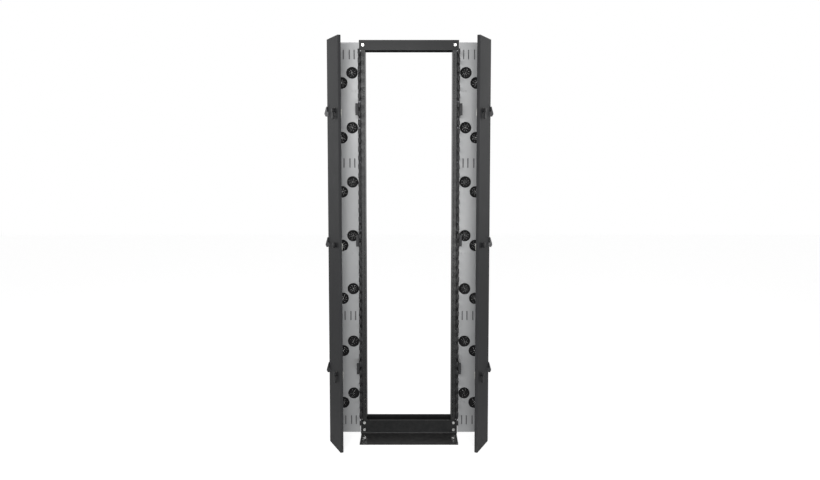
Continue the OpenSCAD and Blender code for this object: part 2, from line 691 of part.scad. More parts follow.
// Headed pins that stand in the fixed knuckles, each with a retaining ring at its foot.
module hinge_pins() color("#8d8f91") both_sides() for (z = station_zs)
    translate([hinge_x, hinge_y, z]) union() {
        translate([0, 0, -knuckle_l - washer_t - 3.5])
            cylinder(d = pin_d, h = 2 * knuckle_l + washer_t + 3.5 + 0.3);
        translate([0, 0, knuckle_l + 0.3]) cylinder(d1 = knuckle_d - 0.6, d2 = knuckle_d - 2.4, h = 2.2);
        translate([0, 0, -knuckle_l - washer_t - 2]) cylinder(d = knuckle_d - 1.6, h = 1.4);
    }

module hinge_washers() color("#e8e8e4") both_sides() for (z = station_zs)
    translate([hinge_x, hinge_y, z - washer_t + 0.05]) difference() {
        cylinder(d = knuckle_d - 0.4, h = washer_t - 0.1);
        translate([0, 0, -cut]) cylinder(d = pin_d + 0.3, h = washer_t + 2 * cut);
    }

// ---- Door ----------------------------------------------------------------

// The door's sheet: a face with its four edges folded back, notched for the hinge arms.
module door_panel() color("#2c2e30") difference() {
    union() {
        translate([0, 0, door_z0]) linear_extrude(door_h) union() {
            translate([door_x0 + bend_r, door_face]) square([door_w - 2 * bend_r, sheet_t]);
            bend_2d(door_x0 + bend_r, door_face + bend_r, -1, -1);
            bend_2d(mgr_x1 - bend_r, door_face + bend_r, 1, -1);
            for (x = [door_x0, mgr_x1 - sheet_t])
                translate([x, door_face + bend_r]) square([sheet_t, door_d - bend_r]);
        }
        for (z = [door_z0, door_z1 - sheet_t])
            translate([door_x0 + bend_r, door_face + sheet_t - tiny, z])
                cube([door_w - 2 * bend_r, door_d - sheet_t + tiny, sheet_t]);
    }
    for (z = station_zs) {
        translate([hinge_x - notch_x, door_face - cut, z - notch_z0])
            cube([notch_x + hinge_in + cut, door_d + 2 * cut, notch_z0 + 0.5]);
        translate([latch_x, door_face + sheet_t + cut, z])
            rotate([90, 0, 0]) cylinder(d = barrel_d + 0.2, h = sheet_t + 2 * cut);
        for (dz = leaf_screw_zs) translate([leaf_screw_x, door_face + sheet_t + cut, z + dz])
            rotate([90, 0, 0]) cylinder(d = screw_d + 2 * screw_gap, h = sheet_t + 2 * cut);
    }
}

// A hat-shaped stiffener spot-welded down the inside of the door.
module door_stiffener() color("#2c2e30") {
    brim = 9;
    wall = 1.2;
    y0 = door_face + sheet_t;
    translate([mgr_x1 - stiff_in, y0, door_z0 + stiff_end]) linear_extrude(door_h - 2 * stiff_end) union() {
        for (s = [-1, 1]) {
            translate([s * (stiff_w - brim) / 2 - brim / 2, 0]) square([brim, wall]);
            translate([s * (stiff_w / 2 - brim) - wall / 2, 0]) square([wall, stiff_h]);
        }
        translate([-stiff_w / 2 + brim - wall / 2, stiff_h - wall])
            square([stiff_w - 2 * brim + wall, wall]);
    }
}

// The door's half of each hinge: a leaf inside the face and the upper knuckle.
module hinge_leaves() color("#101112") for (z = station_zs) translate([0, 0, z]) difference() {
    union() {
        translate([hinge_x - leaf_w, door_face + sheet_t, 0]) cube([leaf_w, leaf_t, knuckle_l]);
        translate([hinge_x - leaf_w, door_face + sheet_t, -16])
            cube([leaf_pad, leaf_t, knuckle_l + 32]);
        translate([hinge_x, hinge_y, 0]) cylinder(d = knuckle_d, h = knuckle_l);
    }
    translate([hinge_x, hinge_y, -cut]) cylinder(d = pin_d + 2 * pin_gap, h = knuckle_l + 2 * cut);
    for (dz = leaf_screw_zs) translate([leaf_screw_x, door_face + sheet_t + leaf_t + cut, dz])
        rotate([90, 0, 0]) cylinder(d = screw_d + 2 * thread_gap, h = leaf_t + 2 * cut);
}

module door_screws() color("#2a2b2d") for (z = station_zs, dz = leaf_screw_zs)
    translate([leaf_screw_x, door_face, z + dz]) rotate([90, 0, 0]) pan_screw(sheet_t + leaf_t + 1);

// ---- Latches -------------------------------------------------------------

module latch_housings() color("#121314") for (z = station_zs)
    translate([latch_x, door_face, z]) rotate([90, 0, 0]) difference() {
        union() {
            translate([0, 0, -barrel_l]) cylinder(d = barrel_d, h = barrel_l + tiny);
            cylinder(d = flange_d, h = flange_t * 0.6);
            translate([0, 0, flange_t * 0.6])
                cylinder(d1 = flange_d, d2 = flange_d - 2, h = flange_t * 0.4);
        }
        translate([0, 0, -barrel_l - cut])
            cylinder(d = spindle_d + 2 * spindle_gap, h = barrel_l + flange_t + 2 * cut);
    }

module latch_nuts() color("#6c6e70") for (z = station_zs)
    translate([latch_x, door_face + sheet_t, z]) rotate([-90, 0, 0]) difference() {
        hexagon(barrel_d + 7, latch_nut_t);
        translate([0, 0, -cut]) cylinder(d = barrel_d + 0.1, h = latch_nut_t + 2 * cut);
    }

// The spindle behind a handle, with the square tenon that the cam sits on.
module spindle() {
    translate([0, 0, -(cam_y0 - door_face)])
        cylinder(d = spindle_d, h = cam_y0 - door_face + flange_t + hub_gap + 2);
    translate([-tenon / 2, -tenon / 2, -(cam_y0 + cam_t + 1 - door_face)])
        cube([tenon, tenon, cam_t + 1 + tiny]);
}

// A lever handle that hangs down from its hub and widens towards its end.
module lever_handle() union() {
    spindle();
    translate([0, 0, flange_t + hub_gap]) cylinder(d = hub_d, h = handle_out - flange_t - hub_gap - 2);
    translate([0, 0, handle_out - 2]) cylinder(d1 = hub_d, d2 = hub_d - 3, h = 2);
    translate([0, 0, handle_out - 11]) linear_extrude(9) lever_2d();
}

module lever_2d() {
    end_r = 4;
    end_w = 24;
    polygon([
        [-7, 0], [-end_w / 2, -lever_l + end_r], [-end_w / 2 + end_r, -lever_l],
        [end_w / 2 - end_r, -lever_l], [end_w / 2, -lever_l + end_r], [7, 0]
    ]);
    for (s = [-1, 1]) translate([s * (end_w / 2 - end_r), -lever_l + end_r]) circle(end_r);
}

// A round knob with grip flutes.
module knob_handle() union() {
    spindle();
    difference() {
        union() {
            translate([0, 0, flange_t + hub_gap]) cylinder(d = hub_d, h = 3);
            translate([0, 0, flange_t + hub_gap + 2]) cylinder(d = knob_d, h = handle_out - flange_t - hub_gap - 4);
            translate([0, 0, handle_out - 2]) cylinder(d1 = knob_d, d2 = knob_d - 4, h = 2);
        }
        for (k = [0 : 11]) rotate([0, 0, k * 30]) translate([knob_d / 2 + 1, 0, flange_t + 1])
            cylinder(d = 5, h = handle_out);
    }
}

// The handle of latch n, counted from the bottom: levers at the ends and a knob in the middle.
module handle(n) color("#0e0f10") translate([latch_x, door_face, station_zs[n]]) rotate([90, 0, 0])
    if (n == 1) knob_handle(); else lever_handle();

// The cam of latch n, hanging down beside the strike until the handle is turned.
module cam(n) color("#7b7d7f") translate([latch_x, cam_y0 + cam_t, station_zs[n]]) rotate([90, 0, 0])
    difference() {
        union() {
            cylinder(d = cam_w, h = cam_t);
            translate([-cam_w * 0.375, -cam_reach + cam_w * 0.375, 0])
                cube([cam_w * 0.75, cam_reach - cam_w * 0.375, cam_t]);
            translate([0, -cam_reach + cam_w * 0.375, 0]) cylinder(d = cam_w * 0.75, h = cam_t);
        }
        translate([-tenon / 2, -tenon / 2, -cut]) cube([tenon, tenon, cam_t + 2 * cut]);
    }

// ---- Nodes ---------------------------------------------------------------

left_side() upright();  // left_upright
upright();  // right_upright
top_angle();  // top_angle_front
mirror([0, 1, 0]) top_angle();  // top_angle_rear
base_angle();  // base_angle_front
mirror([0, 1, 0]) base_angle();  // base_angle_rear
rack_bolts();
rack_nuts();
left_side() back_panel();  // left_back_panel
back_panel();  // right_back_panel
left_side() outer_wall();  // left_outer_wall
outer_wall();  // right_outer_wall
for (n = [0 : strips - 1]) {
    left_side() finger_strip(n);
    finger_strip(n);
}
left_side() grommets();  // left_grommets
grommets();  // right_grommets
left_side() mount_brackets();  // left_mount_brackets
mount_brackets();  // right_mount_brackets
bracket_bolts();
panel_screws();
finger_screws();
left_side() strikes();  // left_strikes
strikes();  // right_strikes
left_side() hinge_brackets();  // left_hinge_brackets
hinge_brackets();  // right_hinge_brackets
hinge_screws();
hinge_pins();
hinge_washers();
left_side() swung() door_panel();  // left_door_panel
swung() door_panel();  // right_door_panel
left_side() swung() door_stiffener();  // left_door_stiffener
swung() door_stiffener();  // right_door_stiffener
left_side() swung() hinge_leaves();  // left_hinge_leaves
swung() hinge_leaves();  // right_hinge_leaves
left_side() swung() door_screws();  // left_door_screws
swung() door_screws();  // right_door_screws
left_side() swung() latch_housings();  // left_latch_housings
swung() latch_housings();  // right_latch_housings
left_side() swung() latch_nuts();  // left_latch_nuts
swung() latch_nuts();  // right_latch_nuts
for (n = [0 : 2]) {
    left_side() swung() handle(n);
    swung() handle(n);
    left_side() swung() cam(n);
    swung() cam(n);
}
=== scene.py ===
"""Dresses a two-post rack that carries a vertical cable manager on each side.

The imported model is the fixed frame. Its metal parts keep their solids and get
procedural finishes. The rubber grommets, the moulded cable fingers and the cast
latch handles are rebuilt as smooth parametric surfaces that stand in their
solids' places. Lengths are in metres, +X is to the right of someone who faces
the rack, -Y is towards that person and +Z is up.
"""

import json
import logging
import math
from dataclasses import dataclass, field
from enum import Enum

import bmesh
import bpy
import numpy as np
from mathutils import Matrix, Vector


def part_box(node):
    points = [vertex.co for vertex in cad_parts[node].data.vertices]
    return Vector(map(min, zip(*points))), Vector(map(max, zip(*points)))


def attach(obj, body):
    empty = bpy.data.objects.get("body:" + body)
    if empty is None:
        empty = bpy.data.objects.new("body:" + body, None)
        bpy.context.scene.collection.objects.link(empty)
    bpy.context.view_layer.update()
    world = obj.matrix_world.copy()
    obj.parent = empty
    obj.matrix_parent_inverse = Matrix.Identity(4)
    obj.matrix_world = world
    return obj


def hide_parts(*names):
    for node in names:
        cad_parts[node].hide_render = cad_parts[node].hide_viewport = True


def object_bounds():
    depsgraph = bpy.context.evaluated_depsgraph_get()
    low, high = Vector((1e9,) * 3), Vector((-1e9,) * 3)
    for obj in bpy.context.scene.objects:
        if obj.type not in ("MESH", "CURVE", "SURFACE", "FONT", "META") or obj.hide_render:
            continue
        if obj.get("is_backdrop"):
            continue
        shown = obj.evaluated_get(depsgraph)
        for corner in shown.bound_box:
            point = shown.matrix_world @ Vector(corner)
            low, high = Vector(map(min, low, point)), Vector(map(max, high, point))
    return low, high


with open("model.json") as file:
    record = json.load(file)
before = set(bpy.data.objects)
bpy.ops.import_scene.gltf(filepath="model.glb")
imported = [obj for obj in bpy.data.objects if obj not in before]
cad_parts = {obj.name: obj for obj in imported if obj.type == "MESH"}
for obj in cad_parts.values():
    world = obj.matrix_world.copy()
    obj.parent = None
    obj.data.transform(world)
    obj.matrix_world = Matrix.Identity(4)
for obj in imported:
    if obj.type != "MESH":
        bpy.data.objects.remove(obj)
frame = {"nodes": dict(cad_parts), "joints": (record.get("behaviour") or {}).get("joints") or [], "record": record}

LOG = logging.getLogger("rack")
MM = 0.001
TURN = 2 * math.pi
SAME_POINT = 1e-6  # points closer than this are one point
FACING_FRONT = np.array([[1.0, 0, 0], [0, 0, 1.0], [0, -1.0, 0]])  # a shell's +Z points to the front
Colour = tuple[float, float, float]
CAD_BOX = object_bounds()


def side_sign(side: str) -> int:
    """The sign of X on a side of the rack."""
    return 1 if side == "right" else -1


# ---- Surfaces --------------------------------------------------------------


@dataclass
class Shell:
    """Points and four-sided faces of one or more closed surfaces."""

    points: np.ndarray
    faces: np.ndarray

    def copies(self, places: np.ndarray) -> "Shell":
        """Repeats the shell: each copy is every point plus that copy's place.

        Args:
            places: Offsets of the copies, one row of x, y, z each.

        Returns:
            One shell that holds all the copies.
        """
        points = (self.points[None] + places[:, None]).reshape(-1, 3)
        steps = np.arange(len(places))[:, None, None] * len(self.points)
        return Shell(points, (self.faces[None] + steps).reshape(-1, 4))

    def placed(self, origin: np.ndarray, axes: np.ndarray) -> "Shell":
        """The shell in another frame: origin plus x, y and z along that frame's axes."""
        return Shell(self.points @ axes + origin, self.faces)

    @staticmethod
    def joined(shells: list["Shell"]) -> "Shell":
        """Puts several shells in one.

        Args:
            shells: The shells, whose faces are counted on from one to the next.

        Returns:
            One shell with all their points and faces.
        """
        starts = np.cumsum([0] + [len(shell.points) for shell in shells[:-1]])
        faces = [shell.faces + start for shell, start in zip(shells, starts)]
        return Shell(np.concatenate([shell.points for shell in shells]), np.concatenate(faces))


def loft(rings: np.ndarray, capped: bool = True) -> Shell:
    """Joins rings of points into a tube.

    Face (i, j) runs from point j of ring i to point j + 1 of ring i + 1, and j
    wraps round. A cap is one more ring with all its points at the end ring's mean.

    Args:
        rings: Array of rings by points by 3.
        capped: Whether the ends are closed. An open tube wraps round to its start.

    Returns:
        The closed tube.
    """
    if capped:
        first, last = (np.broadcast_to(ring.mean(axis=0), ring.shape)[None] for ring in (rings[0], rings[-1]))
        rings = np.concatenate([first, rings, last])
    count, size = rings.shape[:2]
    rows = np.arange(count - 1 if capped else count)[:, None]
    cols = np.arange(size)[None]
    after, beside = (rows + 1) % count, (cols + 1) % size
    corners = [rows * size + cols, rows * size + beside, after * size + beside, after * size + cols]
    return Shell(rings.reshape(-1, 3), np.stack(corners, axis=-1).reshape(-1, 4))


def revolve(profile: np.ndarray, steps: int, closed: bool = False) -> Shell:
    """Turns a profile about the Z axis.

    Point (u, v) is at radius r(v) and height h(v), turned by the angle 2 pi u.

    Args:
        profile: Rows of radius and height. An open one starts and ends at radius 0.
        steps: Number of steps round the axis.
        closed: Whether the profile is a loop, as for a ring.

    Returns:
        The closed surface.
    """
    turn = np.arange(steps) * (TURN / steps)
    radius, height = profile[:, 0][:, None], profile[:, 1][:, None]
    rings = np.stack([radius * np.cos(turn), radius * np.sin(turn), height + 0 * turn], axis=-1)
    return loft(rings, capped=not closed)


def round_box(half_x: np.ndarray, half_y: np.ndarray, power: float, steps: int) -> np.ndarray:
    """Rings of a rounded oblong in the XY plane.

    x is half_x times the signed power 2 / n of cos t, and y is half_y times that
    of sin t, so n = 2 gives an ellipse and a large n gives a box.

    Args:
        half_x: Half widths, one for each ring.
        half_y: Half heights, one for each ring.
        power: The exponent n.
        steps: Number of points in a ring.

    Returns:
        Array of rings by points by 2.
    """
    turn = (np.arange(steps) + 0.5) * (TURN / steps)
    cos, sin = np.cos(turn), np.sin(turn)
    x = np.sign(cos) * np.abs(cos) ** (2 / power)
    y = np.sign(sin) * np.abs(sin) ** (2 / power)
    return np.stack([half_x[:, None] * x, half_y[:, None] * y], axis=-1)


def along(rings: np.ndarray, stations: np.ndarray) -> np.ndarray:
    """Stands each flat ring at its own height: x and y as they are, z the ring's station."""
    height = np.broadcast_to(stations[:, None, None], (*rings.shape[:2], 1))
    return np.concatenate([rings, height], axis=-1)


def fillet(start: tuple, corner: tuple, end: tuple, steps: int = 5) -> list[tuple]:
    """Rounds a corner with the curve (1-t)^2 start + 2t(1-t) corner + t^2 end.

    Args:
        start: Radius and height where the curve begins.
        corner: The sharp corner that it rounds.
        end: Radius and height where the curve ends.
        steps: Number of points.

    Returns:
        The curve's points in order.
    """
    share = np.linspace(0, 1, steps)[:, None]
    ends = np.array([start, corner, end], dtype=float)
    curve = (1 - share) ** 2 * ends[0] + 2 * share * (1 - share) * ends[1] + share**2 * ends[2]
    return [tuple(point) for point in curve]


class Body(Enum):
    """The bodies that new pieces ride on."""

    FRAME = "frame"
    LATCH = "{side}_latch_{level}"

    def on(self, side: str = "", level: str = "") -> str:
        """The body's full name on one side of the rack."""
        return self.value.format(side=side, level=level)


def make_piece(
    name: str, shell: Shell, material: bpy.types.Material, crease: float = 38
) -> bpy.types.Object:
    """Makes a smooth, outward-facing object from a shell.

    Args:
        name: The object's name.
        shell: Its closed surfaces.
        material: Its finish.
        crease: Angle in degrees past which an edge stays sharp.

    Returns:
        The new object, at the origin.
    """
    mesh = bpy.data.meshes.new(name)
    mesh.from_pydata(shell.points.tolist(), [], shell.faces.tolist())
    work = bmesh.new()
    work.from_mesh(mesh)
    bmesh.ops.remove_doubles(work, verts=work.verts, dist=SAME_POINT)
    bmesh.ops.recalc_face_normals(work, faces=work.faces)
    work.to_mesh(mesh)
    work.free()
    mesh.polygons.foreach_set("use_smooth", np.ones(len(mesh.polygons), dtype=bool))
    mesh.set_sharp_from_angle(angle=math.radians(crease))
    mesh.materials.append(material)
    piece = bpy.data.objects.new(name, mesh)
    bpy.context.scene.collection.objects.link(piece)
    LOG.info("%s: %d faces", name, len(mesh.polygons))
    return piece


# ---- Shader work -----------------------------------------------------------


class Bench:
    """A node tree with short calls that place nodes and join them."""

    def __init__(self, tree: bpy.types.NodeTree) -> None:
        """Takes the tree that the calls work on."""
        self.tree = tree

    def add(self, kind: str, inputs: dict | None = None, **settings: object) -> bpy.types.Node:
        """Places a node.

        Args:
            kind: The node's type name without its ShaderNode prefix.
            inputs: Socket names or numbers with a value or a socket to join.
            settings: Properties of the node.

        Returns:
            The node.
        """
        node = self.tree.nodes.new(kind if kind.startswith("Node") else "ShaderNode" + kind)
        for key, value in settings.items():
            setattr(node, key, value)
        self.feed(node, inputs or {})
        return node

    def feed(self, node: bpy.types.Node, inputs: dict) -> None:
        """Sets a node's inputs.

        Args:
            node: The node.
            inputs: Socket names or numbers with a value or a socket to join.
        """
        for key, value in inputs.items():
            if isinstance(value, bpy.types.NodeSocket):
                self.tree.links.new(value, node.inputs[key])
            else:
                node.inputs[key].default_value = value

    def math(
        self, operation: str, first: object, second: object, clamp: bool = False
    ) -> bpy.types.NodeSocket:
        """One number worked out from two, as the named operation."""
        return self.add("Math", {0: first, 1: second}, operation=operation, use_clamp=clamp).outputs[0]

    def remap(
        self, value: object, low: float, high: float, to_low: float = 0, to_high: float = 1
    ) -> bpy.types.NodeSocket:
        """Carries low..high to to_low..to_high, held at both ends."""
        ends = {"From Min": low, "From Max": high, "To Min": to_low, "To Max": to_high}
        return self.add("MapRange", {"Value": value, **ends}).outputs[0]

    def blend(self, share: object, first: object, second: object) -> bpy.types.NodeSocket:
        """Mixes two colours by a share; the colour mix has its sockets at 6 and 7."""
        return self.add("Mix", {0: share, 6: first, 7: second}, data_type="RGBA").outputs[2]

    def noise(
        self, where: object, scale: object, detail: float, roughness: float = 0.5
    ) -> bpy.types.NodeSocket:
        """A noise field's value, with so many features to a metre."""
        fields = {"Vector": where, "Scale": scale, "Detail": detail, "Roughness": roughness}
        return self.add("TexNoise", fields).outputs[0]

    def effect(self, which: "Effect", inputs: dict) -> bpy.types.bpy_prop_collection:
        """Places a shared effect and gives its outputs."""
        return self.add("Group", inputs, node_tree=which.group()).outputs


class Effect(Enum):
    """Shader effects that several finishes share, each built once as a node group."""

    GRAIN = "coat_grain"
    MARKS = "handling_marks"
    DUST = "settled_dust"
    LINES = "drawn_lines"

    def group(self) -> bpy.types.NodeTree:
        """The effect's node group, made when it is first asked for."""
        return bpy.data.node_groups.get(self.value) or BUILDERS[self](self.value)


def new_group(
    name: str, inputs: dict[str, float], outputs: list[str]
) -> tuple[Bench, dict[str, bpy.types.NodeSocket], bpy.types.Node]:
    """Starts a node group that has a Vector input besides those named.

    Args:
        name: The group's name.
        inputs: Names of the number inputs with their first values.
        outputs: Names of the outputs, which are numbers.

    Returns:
        The bench, the input sockets by name, and the output node.
    """
    tree = bpy.data.node_groups.new(name, "ShaderNodeTree")
    tree.interface.new_socket("Vector", in_out="INPUT", socket_type="NodeSocketVector")
    for key, value in inputs.items():
        socket = tree.interface.new_socket(key, in_out="INPUT", socket_type="NodeSocketFloat")
        socket.default_value = value
    for key in outputs:
        tree.interface.new_socket(key, in_out="OUTPUT", socket_type="NodeSocketFloat")
    bench = Bench(tree)
    entry = bench.add("NodeGroupInput")
    return bench, {key: entry.outputs[key] for key in ("Vector", *inputs)}, bench.add("NodeGroupOutput")


def per_metre(bench: Bench, size_mm: bpy.types.NodeSocket) -> bpy.types.NodeSocket:
    """Turns a feature's size in millimetres into a noise scale."""
    return bench.math("DIVIDE", 1 / MM, size_mm)


def build_grain(name: str) -> bpy.types.NodeTree:
    """The skin of a sprayed or moulded surface: fine bumps on a slow ripple.

    Args:
        name: The node group's name.

    Returns:
        A group that gives the bumps' height, their tops, and slow clouds of tone.
    """
    bench, given, out = new_group(name, {"Grain": 0.8, "Ripple": 12.0}, ["Height", "Fleck", "Cloud"])
    where = given["Vector"]
    grain = bench.noise(where, per_metre(bench, given["Grain"]), 3.0, 0.6)
    ripple = bench.noise(where, per_metre(bench, given["Ripple"]), 2.0)
    cloud = bench.noise(where, 4.3, 4.0, 0.62)
    height = bench.math("ADD", bench.math("MULTIPLY", grain, 0.6), bench.math("MULTIPLY", ripple, 0.4))
    tops = {"Fleck": bench.remap(grain, 0.42, 0.68), "Cloud": bench.remap(cloud, 0.3, 0.7)}
    bench.feed(out, {"Height": height, **tops})
    return bench.tree


def build_marks(name: str) -> bpy.types.NodeTree:
    """Faint rubs, and fine scratches in the rubbed places.

    Args:
        name: The node group's name.

    Returns:
        A group that gives both as masks from 0 to 1.
    """
    bench, given, out = new_group(name, {"Size": 60.0}, ["Rub", "Scratch"])
    rub = bench.noise(given["Vector"], per_metre(bench, given["Size"]), 5.0, 0.7)
    stretch = {"Rotation": (0.3, 0.5, 0.2), "Scale": (1.0, 1.0, 0.06)}
    slant = bench.add("Mapping", {"Vector": given["Vector"], **stretch}).outputs[0]
    lines = bench.remap(bench.noise(slant, 900.0, 1.0), 0.70, 0.78)
    scratch = bench.math("MULTIPLY", lines, bench.remap(rub, 0.5, 0.62))
    bench.feed(out, {"Rub": bench.remap(rub, 0.55, 0.75), "Scratch": scratch})
    return bench.tree


def build_dust(name: str) -> bpy.types.NodeTree:
    """Dust on faces that look up, and a little more of it close to the floor.

    Args:
        name: The node group's name.

    Returns:
        A group that gives the dust as a mask from 0 to 1.
    """
    bench, given, out = new_group(name, {"Amount": 0.3, "Reach": 0.25}, ["Mask"])
    facing = bench.add("SeparateXYZ", {0: bench.add("NewGeometry").outputs["Normal"]}).outputs[2]
    height = bench.add("SeparateXYZ", {0: given["Vector"]}).outputs[2]
    rise = bench.math("DIVIDE", height, given["Reach"], clamp=True)
    low = bench.math("SUBTRACT", 1.0, rise, clamp=True)
    motes = bench.remap(bench.noise(given["Vector"], 55.0, 6.0, 0.75), 0.35, 0.7)
    level = bench.remap(facing, 0.6, 1.0)
    both = bench.math("ADD", level, bench.math("MULTIPLY", low, 0.35), clamp=True)
    mask = bench.math("MULTIPLY", bench.math("MULTIPLY", both, motes), given["Amount"], clamp=True)
    bench.feed(out, {"Mask": mask})
    return bench.tree


def build_lines(name: str) -> bpy.types.NodeTree:
    """Fine lines that drawing or turning leaves on bare and plated metal.

    Args:
        name: The node group's name.

    Returns:
        A group that gives the lines' height and a mask of patchy tarnish.
    """
    bench, given, out = new_group(name, {"Pitch": 0.4}, ["Height", "Tarnish"])
    drawn = bench.add("Mapping", {"Vector": given["Vector"], "Scale": (1.0, 0.12, 1.0)}).outputs[0]
    lines = bench.noise(drawn, per_metre(bench, given["Pitch"]), 2.0)
    tarnish = bench.remap(bench.noise(given["Vector"], 210.0, 3.0), 0.35, 0.7)
    bench.feed(out, {"Height": lines, "Tarnish": tarnish})
    return bench.tree


BUILDERS = {
    Effect.GRAIN: build_grain,
    Effect.MARKS: build_marks,
    Effect.DUST: build_dust,
    Effect.LINES: build_lines,
}


def rgba(colour: Colour, factor: float = 1.0) -> tuple[float, float, float, float]:
    """A colour with full alpha, made lighter or darker by a factor."""
    return (*(min(1.0, part * factor) for part in colour), 1.0)


def new_material(name: str) -> tuple[bpy.types.Material, Bench, bpy.types.Node, bpy.types.NodeSocket]:
    """Starts a material with a Principled shader.

    Args:
        name: The material's name.

    Returns:
        The material, its bench, the shader and the Object coordinates.
    """
    material = bpy.data.materials.new(name)
    material.use_nodes = True
    bench = Bench(material.node_tree)
    shader = next(node for node in material.node_tree.nodes if node.type == "BSDF_PRINCIPLED")
    return material, bench, shader, bench.add("TexCoord").outputs["Object"]


def bump(
    bench: Bench, height: bpy.types.NodeSocket, depth_mm: float, strength: float
) -> bpy.types.NodeSocket:
    """The normal that a height field of the given depth bends."""
    fields = {"Height": height, "Strength": strength, "Distance": depth_mm * MM}
    return bench.add("Bump", fields).outputs[0]


@dataclass(frozen=True)
class PowderCoat:
    """Baked powder on steel, with its pimpled skin, faint rubs and settled dust."""

    name: str
    colour: Colour
    roughness: float = 0.45
    grain_mm: float = 0.9
    depth_mm: float = 0.04
    specular: float = 0.5
    cloud: float = 0.12
    fleck: float = 0.10
    wear: float = 0.25
    dust: float = 0.25
    dust_colour: Colour = (0.33, 0.32, 0.30)
    ripple_mm: float = 14.0
    rub_mm: float = 70.0
    relief: float = 0.55
    polish: float = 0.10
    matt: float = 0.3
    spread: tuple[float, float] = (-0.03, 0.04)
    fleck_pale: float = 1.9
    scratch_pale: float = 2.4

    def tint(
        self, bench: Bench, grain: dict, marks: dict, dust: bpy.types.NodeSocket
    ) -> bpy.types.NodeSocket:
        """The coat's colour: cloudy, paler on its bumps and scratches, then dusty.

        Args:
            bench: The material's bench.
            grain: Outputs of the grain effect.
            marks: Outputs of the marks effect.
            dust: The dust's mask.

        Returns:
            The colour socket.
        """
        dark, light = rgba(self.colour, 1 - self.cloud), rgba(self.colour, 1 + self.cloud)
        cloudy = bench.blend(grain["Cloud"], dark, light)
        tops = bench.math("MULTIPLY", grain["Fleck"], self.fleck)
        flecked = bench.blend(tops, cloudy, rgba(self.colour, self.fleck_pale))
        scratched = bench.math("MULTIPLY", marks["Scratch"], self.wear)
        rubbed = bench.blend(scratched, flecked, rgba(self.colour, self.scratch_pale))
        return bench.blend(dust, rubbed, rgba(self.dust_colour))

    def build(self) -> bpy.types.Material:
        """Makes the material.

        Returns:
            The material, with tint, roughness and bump that vary over the surface.
        """
        material, bench, shader, where = new_material(self.name)
        sizes = {"Grain": self.grain_mm, "Ripple": self.ripple_mm}
        grain = bench.effect(Effect.GRAIN, {"Vector": where, **sizes})
        marks = bench.effect(Effect.MARKS, {"Vector": where, "Size": self.rub_mm})
        dust = bench.effect(Effect.DUST, {"Vector": where, "Amount": self.dust})["Mask"]
        polished = bench.math("MULTIPLY", marks["Rub"], -self.polish * self.wear)
        matted = bench.math("MULTIPLY", dust, self.matt)
        ends = (self.roughness + part for part in self.spread)
        varied = bench.remap(grain["Cloud"], 0, 1, *ends)
        rough = bench.math("ADD", varied, bench.math("ADD", polished, matted), clamp=True)
        shader.inputs["Specular IOR Level"].default_value = self.specular
        bench.feed(shader, {
            "Base Color": self.tint(bench, grain, marks, dust),
            "Roughness": rough,
            "Normal": bump(bench, grain["Height"], self.depth_mm, self.relief),
        })
        return material


@dataclass(frozen=True)
class PlatedMetal:
    """Bare or plated metal with drawn lines and a patchy, faint tarnish."""

    name: str
    colour: Colour
    roughness: float = 0.3
    pitch_mm: float = 0.5
    tarnish: float = 0.25
    depth_mm: float = 0.015
    grain_mm: float = 0.6
    ripple_mm: float = 5.0
    relief: float = 0.5
    spread: tuple[float, float] = (-0.05, 0.12)
    fade: Colour = (0.7, 0.68, 0.62)

    def build(self) -> bpy.types.Material:
        """Makes the material.

        Returns:
            The material, fully metallic.
        """
        material, bench, shader, where = new_material(self.name)
        lines = bench.effect(Effect.LINES, {"Vector": where, "Pitch": self.pitch_mm})
        sizes = {"Grain": self.grain_mm, "Ripple": self.ripple_mm}
        grain = bench.effect(Effect.GRAIN, {"Vector": where, **sizes})
        aged = rgba(tuple(part * fade for part, fade in zip(self.colour, self.fade)))
        share = bench.math("MULTIPLY", lines["Tarnish"], self.tarnish)
        height = bench.math("ADD", lines["Height"], bench.math("MULTIPLY", grain["Height"], 0.5))
        ends = (self.roughness + part for part in self.spread)
        shader.inputs["Metallic"].default_value = 1.0
        bench.feed(shader, {
            "Base Color": bench.blend(share, rgba(self.colour), aged),
            "Roughness": bench.remap(lines["Tarnish"], 0, 1, *ends),
            "Normal": bump(bench, height, self.depth_mm, self.relief),
        })
        return material


